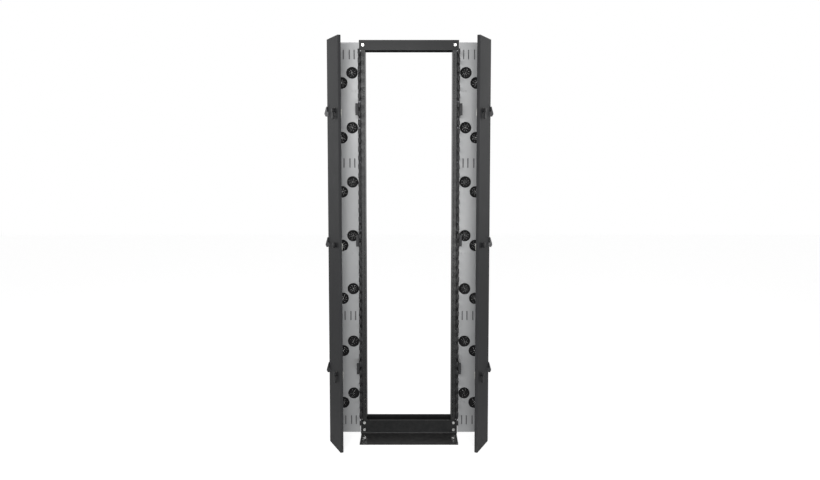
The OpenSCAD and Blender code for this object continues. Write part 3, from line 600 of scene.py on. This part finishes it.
@dataclass(frozen=True)
class Moulded:
    """Moulded plastic or rubber: a spark-eroded skin, with paler rubbed patches."""

    name: str
    colour: Colour
    roughness: float = 0.55
    grain_mm: float = 0.5
    depth_mm: float = 0.03
    bloom: float = 0.15
    dust: float = 0.2
    specular: float = 0.4
    dust_colour: Colour = (0.30, 0.29, 0.28)
    ripple_mm: float = 8.0
    rub_mm: float = 25.0
    relief: float = 0.5
    spread: tuple[float, float] = (-0.04, 0.06)
    tones: tuple[float, float] = (0.9, 1.12)
    bloom_pale: float = 2.6

    def build(self) -> bpy.types.Material:
        """Makes the material.

        Returns:
            The material, with tint, roughness and bump that vary over the surface.
        """
        material, bench, shader, where = new_material(self.name)
        sizes = {"Grain": self.grain_mm, "Ripple": self.ripple_mm}
        grain = bench.effect(Effect.GRAIN, {"Vector": where, **sizes})
        marks = bench.effect(Effect.MARKS, {"Vector": where, "Size": self.rub_mm})
        dust = bench.effect(Effect.DUST, {"Vector": where, "Amount": self.dust})["Mask"]
        clouded = bench.blend(grain["Cloud"], *(rgba(self.colour, tone) for tone in self.tones))
        share = bench.math("MULTIPLY", marks["Rub"], self.bloom)
        bloomed = bench.blend(share, clouded, rgba(self.colour, self.bloom_pale))
        ends = (self.roughness + part for part in self.spread)
        shader.inputs["Specular IOR Level"].default_value = self.specular
        bench.feed(shader, {
            "Base Color": bench.blend(dust, bloomed, rgba(self.dust_colour)),
            "Roughness": bench.remap(grain["Fleck"], 0, 1, *ends),
            "Normal": bump(bench, grain["Height"], self.depth_mm, self.relief),
        })
        return material


@dataclass
class Finishes:
    """Every finish of the rack and its managers, built once."""

    rack: bpy.types.Material = field(default_factory=PowderCoat(
        "rack_black_coat", (0.017, 0.0175, 0.018), roughness=0.36, grain_mm=0.7, depth_mm=0.02, dust=0.25,
        specular=0.3).build)
    angle: bpy.types.Material = field(default_factory=PowderCoat(
        "angle_black_coat", (0.011, 0.0115, 0.012), roughness=0.38, grain_mm=0.8, depth_mm=0.02, dust=0.12,
        wear=0.5, specular=0.2).build)
    panel: bpy.types.Material = field(default_factory=PowderCoat(
        "panel_grey_coat", (0.35, 0.355, 0.36), roughness=0.31, grain_mm=0.8, depth_mm=0.035, cloud=0.05,
        fleck=0.05, wear=0.10, dust=0.1).build)
    # Painted shade: a dark coat for the strips behind the tie slots. Its colour stands in for the shade inside the
    # slots.
    painted_slot_shade: bpy.types.Material = field(default_factory=PowderCoat(
        "painted_slot_shade_coat", (0.085, 0.087, 0.09), roughness=0.6, grain_mm=0.8, dust=0.3).build)
    manager: bpy.types.Material = field(default_factory=PowderCoat(
        "manager_black_coat", (0.020, 0.0205, 0.022), roughness=0.48, grain_mm=0.8, specular=0.25).build)
    door: bpy.types.Material = field(default_factory=PowderCoat(
        "door_charcoal_coat", (0.024, 0.0245, 0.026), roughness=0.50, grain_mm=1.0, depth_mm=0.04,
        specular=0.2).build)
    hinge: bpy.types.Material = field(default_factory=PowderCoat(
        "hinge_black_enamel", (0.022, 0.022, 0.024), roughness=0.34, grain_mm=0.6, depth_mm=0.02, wear=0.6,
        specular=0.3).build)
    latch: bpy.types.Material = field(default_factory=PowderCoat(
        "latch_black_casting", (0.011, 0.011, 0.012), roughness=0.36, grain_mm=0.9, depth_mm=0.04, wear=0.6,
        specular=0.25).build)
    zinc: bpy.types.Material = field(default_factory=PlatedMetal(
        "bolt_bright_zinc", (0.80, 0.81, 0.80), roughness=0.26, tarnish=0.3).build)
    steel: bpy.types.Material = field(default_factory=PlatedMetal(
        "small_parts_zinc", (0.60, 0.60, 0.57), roughness=0.32, tarnish=0.4).build)
    oxide: bpy.types.Material = field(default_factory=PlatedMetal(
        "screw_black_oxide", (0.10, 0.10, 0.11), roughness=0.36, tarnish=0.3).build)
    fingers: bpy.types.Material = field(default_factory=Moulded(
        "finger_black_plastic", (0.012, 0.012, 0.013), roughness=0.50, specular=0.25).build)
    rubber: bpy.types.Material = field(default_factory=Moulded(
        "grommet_black_rubber", (0.008, 0.008, 0.0085), roughness=0.62, grain_mm=0.7, bloom=0.25,
        specular=0.15, dust=0.05).build)
    nylon: bpy.types.Material = field(default_factory=Moulded(
        "washer_natural_nylon", (0.72, 0.71, 0.66), roughness=0.42, bloom=0.05, dust=0.05).build)


def dress(material: bpy.types.Material, *nodes: str) -> None:
    """Gives CAD nodes a finish by filling their material slots.

    Args:
        material: The finish.
        nodes: Names of the nodes.
    """
    for name in nodes:
        node = frame["nodes"][name]
        for slot in node.material_slots:
            slot.material = material
        LOG.info("%s: %s", name, material.name)


# ---- The rack and its managers ---------------------------------------------


@dataclass
class Rack:
    """The two posts, the angles that join them and the bolts that hold them."""

    finishes: Finishes
    posts: tuple[str, ...] = ("left_upright", "right_upright")
    angles: tuple[str, ...] = ("top_angle_front", "top_angle_rear", "base_angle_front", "base_angle_rear")

    def build(self) -> None:
        """Dresses the rack's own nodes."""
        dress(self.finishes.rack, *self.posts)
        dress(self.finishes.angle, *self.angles)
        dress(self.finishes.zinc, "rack_bolts", "rack_nuts")
        dress(self.finishes.oxide, "bracket_bolts", "finger_screws", "hinge_screws")
        dress(self.finishes.panel, "panel_screws")
        dress(self.finishes.steel, "hinge_pins")
        dress(self.finishes.nylon, "hinge_washers")


@dataclass
class GrommetSet:
    """The rubber grommets of one back panel."""

    finishes: Finishes
    side: str
    pairs: int = 7
    pitch: float = 281 * MM
    step_x: float = 53.5 * MM
    step_z: float = 51.5 * MM
    face_r: float = 30 * MM
    crown_r: tuple[float, float] = (27 * MM, 26.2 * MM)
    lip_r: float = 24.4 * MM
    throat_r: tuple[float, float] = (21.6 * MM, 20.8 * MM)
    grip_r: float = 26 * MM
    heel_r: tuple[float, float, float] = (22.4 * MM, 23 * MM, 25 * MM)
    back_r: float = 28.6 * MM
    rim_h: float = 4.9 * MM
    throat_h: tuple[float, float, float] = (2.2 * MM, 1.7 * MM, -0.1 * MM)
    back_h: float = 2.2 * MM
    panel_t: float = 1.5 * MM
    petals: int = 8
    root_r: float = 21.5 * MM
    slit: float = 0.14 * MM
    eye_r: float = 0.9 * MM
    petal_t: float = 1.6 * MM
    petal_h: float = 0.75 * MM
    sag: float = 1.1 * MM
    rim_steps: int = 40
    petal_rings: int = 7
    petal_steps: int = 12
    petal_power: float = 5.0

    def rim(self) -> Shell:
        """A ring whose rounded face laps over the panel and whose heel grips behind it.

        Returns:
            The ring about +Z, with the panel's rear face at height 0.
        """
        heel, back, top = -self.back_h, self.back_r, self.rim_h
        throat, wall = self.throat_r
        profile = [(self.grip_r, 0), (self.grip_r, self.panel_t), (self.face_r, self.panel_t)]
        brow = (self.face_r, self.panel_t + 0.6 * MM), (self.face_r, top), (self.crown_r[0], top)
        profile += fillet(*brow)
        profile += fillet((self.crown_r[1], top), (self.lip_r, top), (throat, self.throat_h[0]))
        profile += [(wall, self.throat_h[1]), (wall, self.throat_h[2])]
        profile += fillet((self.heel_r[0], -0.5 * MM), (self.heel_r[1], heel), (self.heel_r[2], heel))
        profile += fillet((back - 0.8 * MM, heel), (back, heel), (back, -0.9 * MM))
        profile += [(back - 0.5 * MM, 0)]
        return revolve(np.array(profile), self.rim_steps, closed=True)

    def petal_ring(self) -> Shell:
        """The petals: each is a thin wedge that sags a little towards its tip.

        Ring i of a petal is a flat rounded oblong wrapped round radius r(i), so the
        angle of a point is its distance along the oblong over r(i). Half of the
        oblong's length is pi r(i) / n - slit / 2, and the ring stands at petal_h
        plus sag times the square of its share of the way in.

        Returns:
            All the petals of one grommet.
        """
        share = np.linspace(0, 1, self.petal_rings)
        radius = self.root_r + (self.eye_r - self.root_r) * share
        half = math.pi * radius / self.petals - self.slit / 2
        thick = 0.5 * self.petal_t * (1 - 0.35 * share)
        loop = round_box(half, thick, self.petal_power, self.petal_steps)
        angle = loop[..., 0] / radius[:, None]
        rise = (self.petal_h + self.sag * share**2)[:, None] + loop[..., 1]
        rings = np.stack([radius[:, None] * np.cos(angle), radius[:, None] * np.sin(angle), rise], axis=-1)
        petal = loft(rings)
        turned = []
        for turn in np.arange(self.petals) * TURN / self.petals:
            cos, sin = math.cos(turn), math.sin(turn)
            turned.append(petal.placed(np.zeros(3), np.array([[cos, sin, 0], [-sin, cos, 0], [0, 0, 1]])))
        return Shell.joined(turned)

    def places(self) -> np.ndarray:
        """Works out the grommets' centres from the box of their solids.

        Returns:
            Points on the panel's rear face, one row each.
        """
        low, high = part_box(f"{self.side}_grommets")
        sign = side_sign(self.side)
        inner = (low[0] if sign > 0 else high[0]) + sign * self.face_r
        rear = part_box(f"{self.side}_back_panel")[1][1]
        rise = low[2] + self.face_r + np.arange(self.pairs) * self.pitch
        across, depth = np.full(self.pairs, inner + sign * self.step_x), np.full(self.pairs, rear)
        outer = np.stack([across, depth, rise], axis=-1)
        return np.concatenate([outer + np.array([-sign * self.step_x, 0, self.step_z]), outer])

    def build(self) -> None:
        """Makes the grommets as one piece that replaces their solids."""
        one = Shell.joined([self.rim(), self.petal_ring()]).placed(np.zeros(3), FACING_FRONT)
        piece = make_piece(f"{self.side}_grommet_rings", one.copies(self.places()), self.finishes.rubber)
        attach(piece, Body.FRAME.on())
        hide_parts(f"{self.side}_grommets")


@dataclass
class FingerStrips:
    """The four moulded strips of cable fingers of one manager."""

    finishes: Finishes
    side: str
    strips: int = 4
    per_strip: int = 11
    unit: float = 44.45 * MM
    units: int = 43
    reach: float = 89 * MM
    blade_t: float = 3 * MM
    root_h: float = 15 * MM
    head_h: float = 26 * MM
    head_w: float = 12 * MM
    head_t: float = 3 * MM
    rail_t: float = 3 * MM
    rail_in: float = 5.025 * MM
    rail_out: float = 10.475 * MM
    edge: float = 0.7 * MM
    finger_steps: int = 20
    finger_power: float = 7.0
    rail_steps: int = 28
    rail_power: float = 14.0
    crease: float = 50

    def sections(self) -> np.ndarray:
        """The finger's sections from its root in the rail to the face of its head.

        Returns:
            Rows of reach, half thickness and half height.
        """
        reach, half = self.reach, self.blade_t / 2
        root, head, wide = self.root_h / 2, self.head_h / 2, self.head_w / 2
        neck, rim = reach - self.head_t, self.edge
        flare = [
            (-0.4 * MM, half + 0.9 * MM, root + 4.0 * MM), (0.3 * MM, half + 0.6 * MM, root + 3.2 * MM),
            (1.4 * MM, half + 0.15 * MM, root + 1.4 * MM), (4.0 * MM, half, root),
        ]
        blade = [
            (reach * 0.35, half, root - 0.4 * MM), (reach * 0.62, half - 0.1 * MM, root),
            (reach * 0.72, half - 0.1 * MM, root + 0.9 * MM), (reach * 0.84, half, root + 2.7 * MM),
            (neck - 2.0 * MM, half + 0.2 * MM, head - 1.7 * MM),
            (neck - 0.4 * MM, half + 1.6 * MM, head - 1.0 * MM),
        ]
        tee = [
            (neck, wide - rim, head - 0.3 * MM), (neck + 0.5 * MM, wide, head), (reach - rim, wide, head),
            (reach - rim * 0.3, wide - rim * 0.35, head - rim * 0.35),
            (reach, wide - rim * 1.1, head - rim * 1.1),
        ]
        return np.array(flare + blade + tee)

    def finger(self) -> Shell:
        """One finger along +Z from the rail's face, with its height along Y.

        Each ring is a rounded oblong that stands at its section's reach.

        Returns:
            The closed finger.
        """
        table = self.sections()
        loop = round_box(table[:, 1], table[:, 2], self.finger_power, self.finger_steps)
        return loft(along(loop, table[:, 0]))

    def rail(self, low: np.ndarray, high: np.ndarray) -> Shell:
        """A rail with eased edges: a rounded oblong carried straight along Z.

        Args:
            low: The rail's lowest corner.
            high: Its highest corner, whose y is the rail's rear face.

        Returns:
            The closed rail.
        """
        ease = np.array([0, 0.25, 1]) * self.edge
        rise = np.concatenate([low[2] + ease, (high[2] - ease)[::-1]])
        trim = (self.edge - ease) * 0.6
        trim = np.concatenate([trim, trim[::-1]])
        half_x, half_y = (high[0] - low[0]) / 2 - trim, self.rail_t / 2 - trim
        loop = round_box(half_x, half_y, self.rail_power, self.rail_steps)
        middle = np.array([(low[0] + high[0]) / 2, high[1] - self.rail_t / 2])
        return loft(along(loop + middle, rise))

    def build(self) -> None:
        """Makes each strip as a piece that replaces its solid."""
        sign = side_sign(self.side)
        mounts = {mount["name"]: mount for mount in frame["record"]["mounts"]}
        first = mounts["equipment_middle"]["pos_m"][2] - self.unit * self.units / 2
        finger = self.finger().placed(np.zeros(3), FACING_FRONT)
        for strip in range(self.strips):
            node = f"{self.side}_fingers_{strip + 1}"
            low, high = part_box(node)
            blade_x = (low[0] if sign > 0 else high[0]) + sign * self.head_w / 2
            rise = first + self.unit * (strip * self.per_strip + np.arange(self.per_strip))
            across, depth = (np.full(self.per_strip, value) for value in (blade_x, low[1] + self.reach))
            rail_x = sorted((blade_x - sign * self.rail_in, blade_x + sign * self.rail_out))
            rail = self.rail(np.array([rail_x[0], low[1], low[2]]), np.array([rail_x[1], high[1], high[2]]))
            shell = Shell.joined([finger.copies(np.stack([across, depth, rise], axis=-1)), rail])
            name = f"{self.side}_finger_strip_{strip + 1}"
            piece = make_piece(name, shell, self.finishes.fingers, self.crease)
            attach(piece, Body.FRAME.on())
            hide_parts(node)


@dataclass
class TieBridges:
    """The strips lanced back behind the tie slots of one back panel, in a dark coat that paints the shade inside
    the slots.
    """

    finishes: Finishes
    side: str
    columns: tuple[float, ...] = (35.5, 60.5, 91.5)  # millimetres from the panel's inner edge
    rows: tuple[float, ...] = (66.3, 631.3, 1435.9, 1992.4)  # millimetres above its foot
    slot_w: float = 6 * MM
    slot_l: float = 50 * MM
    lap_x: float = 0.5 * MM
    lap_z: float = 0.8 * MM
    sheet_t: float = 1.5 * MM
    thin: float = 0.45
    seat: float = 0.25 * MM
    bow: float = 3.2 * MM
    rings: int = 17
    ring_steps: int = 16
    power: float = 9.0

    def bridge(self) -> Shell:
        """A strip along Z that bows backwards.

        Ring u has its middle at height u and at depth bow times (1 - u^8), where u
        runs from -1 to 1 over the slot's length, and each ring is a rounded oblong.

        Returns:
            The closed strip.
        """
        share = np.sin(np.linspace(-0.5, 0.5, self.rings) * math.pi)
        size = np.ones(self.rings)
        half_x, half_y = size * (self.slot_w / 2 + self.lap_x), size * self.sheet_t * self.thin
        loop = round_box(half_x, half_y, self.power, self.ring_steps)
        loop[..., 1] += (self.seat + self.bow * (1 - share**8))[:, None]
        return loft(along(loop, share * (self.slot_l / 2 + self.lap_z)))

    def build(self) -> None:
        """Makes all the strips of the panel as one piece behind its slots."""
        low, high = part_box(f"{self.side}_back_panel")
        sign = side_sign(self.side)
        start = low[0] if sign > 0 else high[0]
        columns, rows = (MM * np.array(line) for line in (self.columns, self.rows))
        across, up = np.meshgrid(start + sign * columns, low[2] + rows)
        depth = np.full(across.size, high[1] + self.sheet_t * self.thin)
        places = np.stack([across.ravel(), depth, up.ravel()], axis=-1)
        # The strips take the dark painted-shade coat, which stands in for the shade inside the slots.
        piece = make_piece(f"{self.side}_tie_bridges", self.bridge().copies(places), self.finishes.painted_slot_shade)
        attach(piece, Body.FRAME.on())


@dataclass
class CableManager:
    """The fixed parts of one manager."""

    finishes: Finishes
    side: str
    folded: tuple[str, ...] = ("outer_wall", "mount_brackets", "strikes")

    def build(self) -> None:
        """Dresses the sheet parts and builds the grommets and fingers."""
        dress(self.finishes.panel, f"{self.side}_back_panel")
        dress(self.finishes.manager, *(f"{self.side}_{name}" for name in self.folded))
        dress(self.finishes.hinge, f"{self.side}_hinge_brackets")
        GrommetSet(self.finishes, self.side).build()
        FingerStrips(self.finishes, self.side).build()
        TieBridges(self.finishes, self.side).build()


class Grip(Enum):
    """The two kinds of latch handle."""

    LEVER = "lever"
    KNOB = "knob"


@dataclass
class LatchHandle:
    """One latch's cast handle and its spindle, in front of the door's face."""

    finishes: Finishes
    side: str
    level: str
    spindle_r: float = 5 * MM
    spindle_back: float = 28.5 * MM
    tenon: float = 3.5 * MM
    tenon_l: float = 4 * MM
    hub_r: float = 10 * MM
    hub_base: float = 2.7 * MM
    out: float = 17 * MM
    lever_l: float = 42 * MM
    lever_end: float = 12 * MM
    lever_neck: float = 7.5 * MM
    lever_t: float = 9 * MM
    lever_gap: float = 2 * MM
    tail: float = 0.14
    pinch: tuple[float, float] = (5.0 * MM, 2.6 * MM)
    lever_power: float = 4.5
    lever_steps: int = 28
    square_power: float = 24.0
    square_steps: int = 24
    hub_steps: int = 40
    knob_steps: int = 96
    knob_r: float = 13.5 * MM
    flutes: int = 12
    flute_depth: float = 1.3 * MM
    chamfer: float = 0.5 * MM
    crease: float = 32

    @property
    def grip(self) -> Grip:
        """The middle latch has a knob and the others have levers."""
        return Grip.KNOB if self.level == "middle" else Grip.LEVER

    def stem(self, crown_r: float) -> list[tuple]:
        """Profile of the spindle, the hub and the crown over it, from back to front.

        Args:
            crown_r: Radius of the crown, which is the hub's own or more.

        Returns:
            Points of radius and height in order.
        """
        back, base, top = -self.spindle_back, self.hub_base, self.out
        eased = self.hub_r - 0.4 * MM, base + 0.4 * MM
        profile = [(0, back), (self.spindle_r - self.chamfer, back), (self.spindle_r, back + self.chamfer)]
        profile += [(self.spindle_r, base), (eased[0], base), (self.hub_r, eased[1])]
        if crown_r > self.hub_r:
            profile += [(self.hub_r, base + 1.6 * MM), (crown_r - 0.8 * MM, base + 2.0 * MM)]
            profile += [(crown_r, base + 2.9 * MM)]
        brim = (crown_r, top - 2.6 * MM), (crown_r, top - 0.4 * MM), (crown_r - 3.0 * MM, top - 0.3 * MM)
        dome = (crown_r - 4.0 * MM, top - 0.45 * MM), (crown_r / 2, top), (0, top)
        return profile + fillet(*brim, steps=7) + fillet(*dome)

    def turned(self) -> Shell:
        """The turned part, with the knob's flutes pressed into its rim.

        The radius shrinks by depth times the cube of the positive part of
        cos(flutes x angle), only where the profile is near the crown's full radius.

        Returns:
            The closed surface about +Z.
        """
        knob = self.grip is Grip.KNOB
        crown, steps = (self.knob_r, self.knob_steps) if knob else (self.hub_r, self.hub_steps)
        shell = revolve(np.array(self.stem(crown)), steps)
        if knob:
            flat = shell.points[:, :2]
            radius = np.linalg.norm(flat, axis=1)
            angle = np.arctan2(flat[:, 1], flat[:, 0])
            near = np.clip((radius - 0.8 * crown) / (0.2 * crown), 0, 1)
            press = self.flute_depth * np.clip(np.cos(self.flutes * angle), 0, 1) ** 3 * near
            shell.points[:, :2] *= (1 - press / np.maximum(radius, SAME_POINT))[:, None]
        return shell

    def lever(self) -> Shell:
        """A lever along -Y whose half width grows as a smooth curve and whose end is round.

        Station s has half width neck + (end - neck) (3 s^2 - 2 s^3). Over the tail it
        narrows as the square root of 1 - t^2 does, where t runs from 0 to 1.

        Returns:
            The closed lever.
        """
        start = 1 - self.tail
        curl = np.sin(np.linspace(0.12, 0.5, 8) * math.pi)
        share = np.concatenate([np.linspace(0, start, 10), start + self.tail * curl])
        ease = 3 * share**2 - 2 * share**3
        past = np.clip((share - start) / self.tail, 0, 1)
        lost = 1 - np.sqrt(np.clip(1 - past**2, 0.0004, 1))
        width = self.lever_neck + (self.lever_end - self.lever_neck) * ease - self.pinch[0] * lost
        thick = self.lever_t / 2 * (0.86 + 0.14 * ease) - self.pinch[1] * lost
        loop = round_box(width, thick, self.lever_power, self.lever_steps)
        lift = self.out - self.lever_gap - self.lever_t / 2
        length = np.broadcast_to((-self.lever_l * share)[:, None], loop.shape[:2])
        return loft(np.stack([loop[..., 0], length, loop[..., 1] + lift], axis=-1))

    def square_end(self) -> Shell:
        """The tenon behind the spindle: a nearly square prism with eased corners.

        Returns:
            The closed prism.
        """
        half = np.full(2, self.tenon)
        ends = np.array([-self.spindle_back - self.tenon_l, -self.spindle_back + 0.6 * MM])
        return loft(along(round_box(half, half, self.square_power, self.square_steps), ends))

    def build(self) -> None:
        """Makes the handle on its joint's axis and replaces the solid with it."""
        joint = next(j for j in frame["joints"] if j["name"] == f"{self.side}_latch_{self.level}_turn")
        out = -side_sign(self.side) * np.array(joint["axis"], dtype=float)
        out /= np.linalg.norm(out)
        up = np.array([0, 0, 1.0])
        parts = [self.turned(), self.square_end()]
        if self.grip is Grip.LEVER:
            parts.append(self.lever())
        axes = np.stack([np.cross(up, out), up, out])
        shell = Shell.joined(parts).placed(np.array(joint["pos_m"], dtype=float), axes)
        name = f"{self.side}_{self.level}_{self.grip.value}"
        piece = make_piece(name, shell, self.finishes.latch, self.crease)
        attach(piece, Body.LATCH.on(self.side, self.level))
        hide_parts(f"{self.side}_handle_{self.level}")


@dataclass
class Door:
    """One door with its hinge leaves and its three latches."""

    finishes: Finishes
    side: str
    levels: tuple[str, ...] = ("bottom", "middle", "top")

    def build(self) -> None:
        """Dresses the door's nodes and builds its handles."""
        dress(self.finishes.door, f"{self.side}_door_panel", f"{self.side}_door_stiffener")
        dress(self.finishes.hinge, f"{self.side}_hinge_leaves")
        dress(self.finishes.oxide, f"{self.side}_door_screws")
        dress(self.finishes.latch, f"{self.side}_latch_housings")
        cams = (f"{self.side}_cam_{level}" for level in self.levels)
        dress(self.finishes.steel, f"{self.side}_latch_nuts", *cams)
        for level in self.levels:
            LatchHandle(self.finishes, self.side, level).build()


# ---- The studio ------------------------------------------------------------


@dataclass(frozen=True)
class SoftBox:
    """A soft rectangular lamp aimed at a point."""

    name: str
    place: tuple[float, float, float]
    aim: tuple[float, float, float]
    size: tuple[float, float]
    watts: float

    def build(self) -> None:
        """Makes the lamp."""
        data = bpy.data.lights.new(self.name, "AREA")
        data.shape = "RECTANGLE"
        data.size, data.size_y = self.size
        data.energy = self.watts
        lamp = bpy.data.objects.new(self.name, data)
        bpy.context.scene.collection.objects.link(lamp)
        lamp.location = self.place
        away = lamp.location - Vector(self.aim)
        lamp.rotation_euler = away.to_track_quat("Z", "Y").to_euler()


@dataclass
class Studio:
    """The pale floor, the even light and the camera."""

    floor_half: float = 9.0
    floor_tone: float = 0.80
    floor_glow: float = 0.71
    ambient: float = 0.31
    sensor: float = 36.0
    lens: float = 29.5
    place: tuple[float, float, float] = (0.0, -3.538, 1.486)
    pitch: float = 4.13
    shift: tuple[float, float] = (0.0013, -0.044)
    lamps: tuple[SoftBox, ...] = (
        SoftBox("upper_front_lamp", (-0.4, -3.9, 2.02), (0, 0, 1.75), (1.7, 0.36), 72),
        SoftBox("lower_front_lamp", (0.4, -3.9, 0.66), (0, 0, 1.05), (1.7, 0.36), 46),
        SoftBox("overhead_lamp", (0, -0.8, 4.2), (0, 0, 0.8), (3.0, 3.0), 12),
    )

    def floor(self) -> None:
        """A flat floor that looks nearly white to the camera and keeps the shadow."""
        half = self.floor_half
        mesh = bpy.data.meshes.new("studio_floor")
        corners = [(-half, -half, 0), (half, -half, 0), (half, half, 0), (-half, half, 0)]
        mesh.from_pydata(corners, [], [(0, 1, 2, 3)])
        floor = bpy.data.objects.new("studio_floor", mesh)
        bpy.context.scene.collection.objects.link(floor)
        material, bench, shader, _ = new_material("studio_floor_white")
        seen = bench.add("LightPath").outputs["Is Camera Ray"]
        bench.feed(shader, {
            "Base Color": (self.floor_tone, self.floor_tone, self.floor_tone, 1),
            "Roughness": 0.9,
            "Specular IOR Level": 0.1,
            "Emission Color": (1, 1, 1, 1),
            "Emission Strength": bench.math("MULTIPLY", seen, self.floor_glow),
        })
        mesh.materials.append(material)
        floor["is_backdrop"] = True

    def world(self) -> None:
        """White where the camera or a reflection sees it, and softer where it only lights."""
        world = bpy.data.worlds.new("studio_world")
        world.use_nodes = True
        bpy.context.scene.world = world
        bench = Bench(world.node_tree)
        output = next(node for node in world.node_tree.nodes if node.type == "OUTPUT_WORLD")
        path = bench.add("LightPath").outputs
        straight = bench.math("MAXIMUM", path["Is Camera Ray"], path["Is Glossy Ray"])
        seen = bench.math("MAXIMUM", straight, path["Is Transmission Ray"])
        strength = bench.remap(seen, 0, 1, self.ambient, 1.0)
        glow = bench.add("Background", {"Color": (1, 1, 1, 1), "Strength": strength})
        bench.feed(output, {0: glow.outputs[0]})

    def camera(self) -> None:
        """A camera that stands in front of the rack, a little below its top."""
        data = bpy.data.cameras.new("studio_camera")
        data.sensor_width = self.sensor
        data.lens = self.lens
        data.shift_x, data.shift_y = self.shift
        camera = bpy.data.objects.new("studio_camera", data)
        bpy.context.scene.collection.objects.link(camera)
        camera.location = self.place
        camera.rotation_euler = (math.radians(90 - self.pitch), 0, 0)
        bpy.context.scene.camera = camera

    def build(self) -> None:
        """Makes the whole studio."""
        bpy.context.scene.view_settings.view_transform = "Standard"
        self.camera()
        self.world()
        self.floor()
        for lamp in self.lamps:
            lamp.build()


def write_sizes() -> None:
    """Works out the solids' box and the dressed model's box."""
    boxes = {"cad": CAD_BOX, "visual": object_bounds()}
    plain = {key: [[float(part) for part in corner] for corner in box] for key, box in boxes.items()}


def main() -> None:
    """Builds the studio, the finishes and every sub-assembly."""
    logging.basicConfig(level=logging.INFO, format="%(name)s: %(message)s")
    Studio().build()
    finishes = Finishes()
    Rack(finishes).build()
    for side in ("left", "right"):
        CableManager(finishes, side).build()
        Door(finishes, side).build()
    write_sizes()


if __name__ == "__main__":
    main()
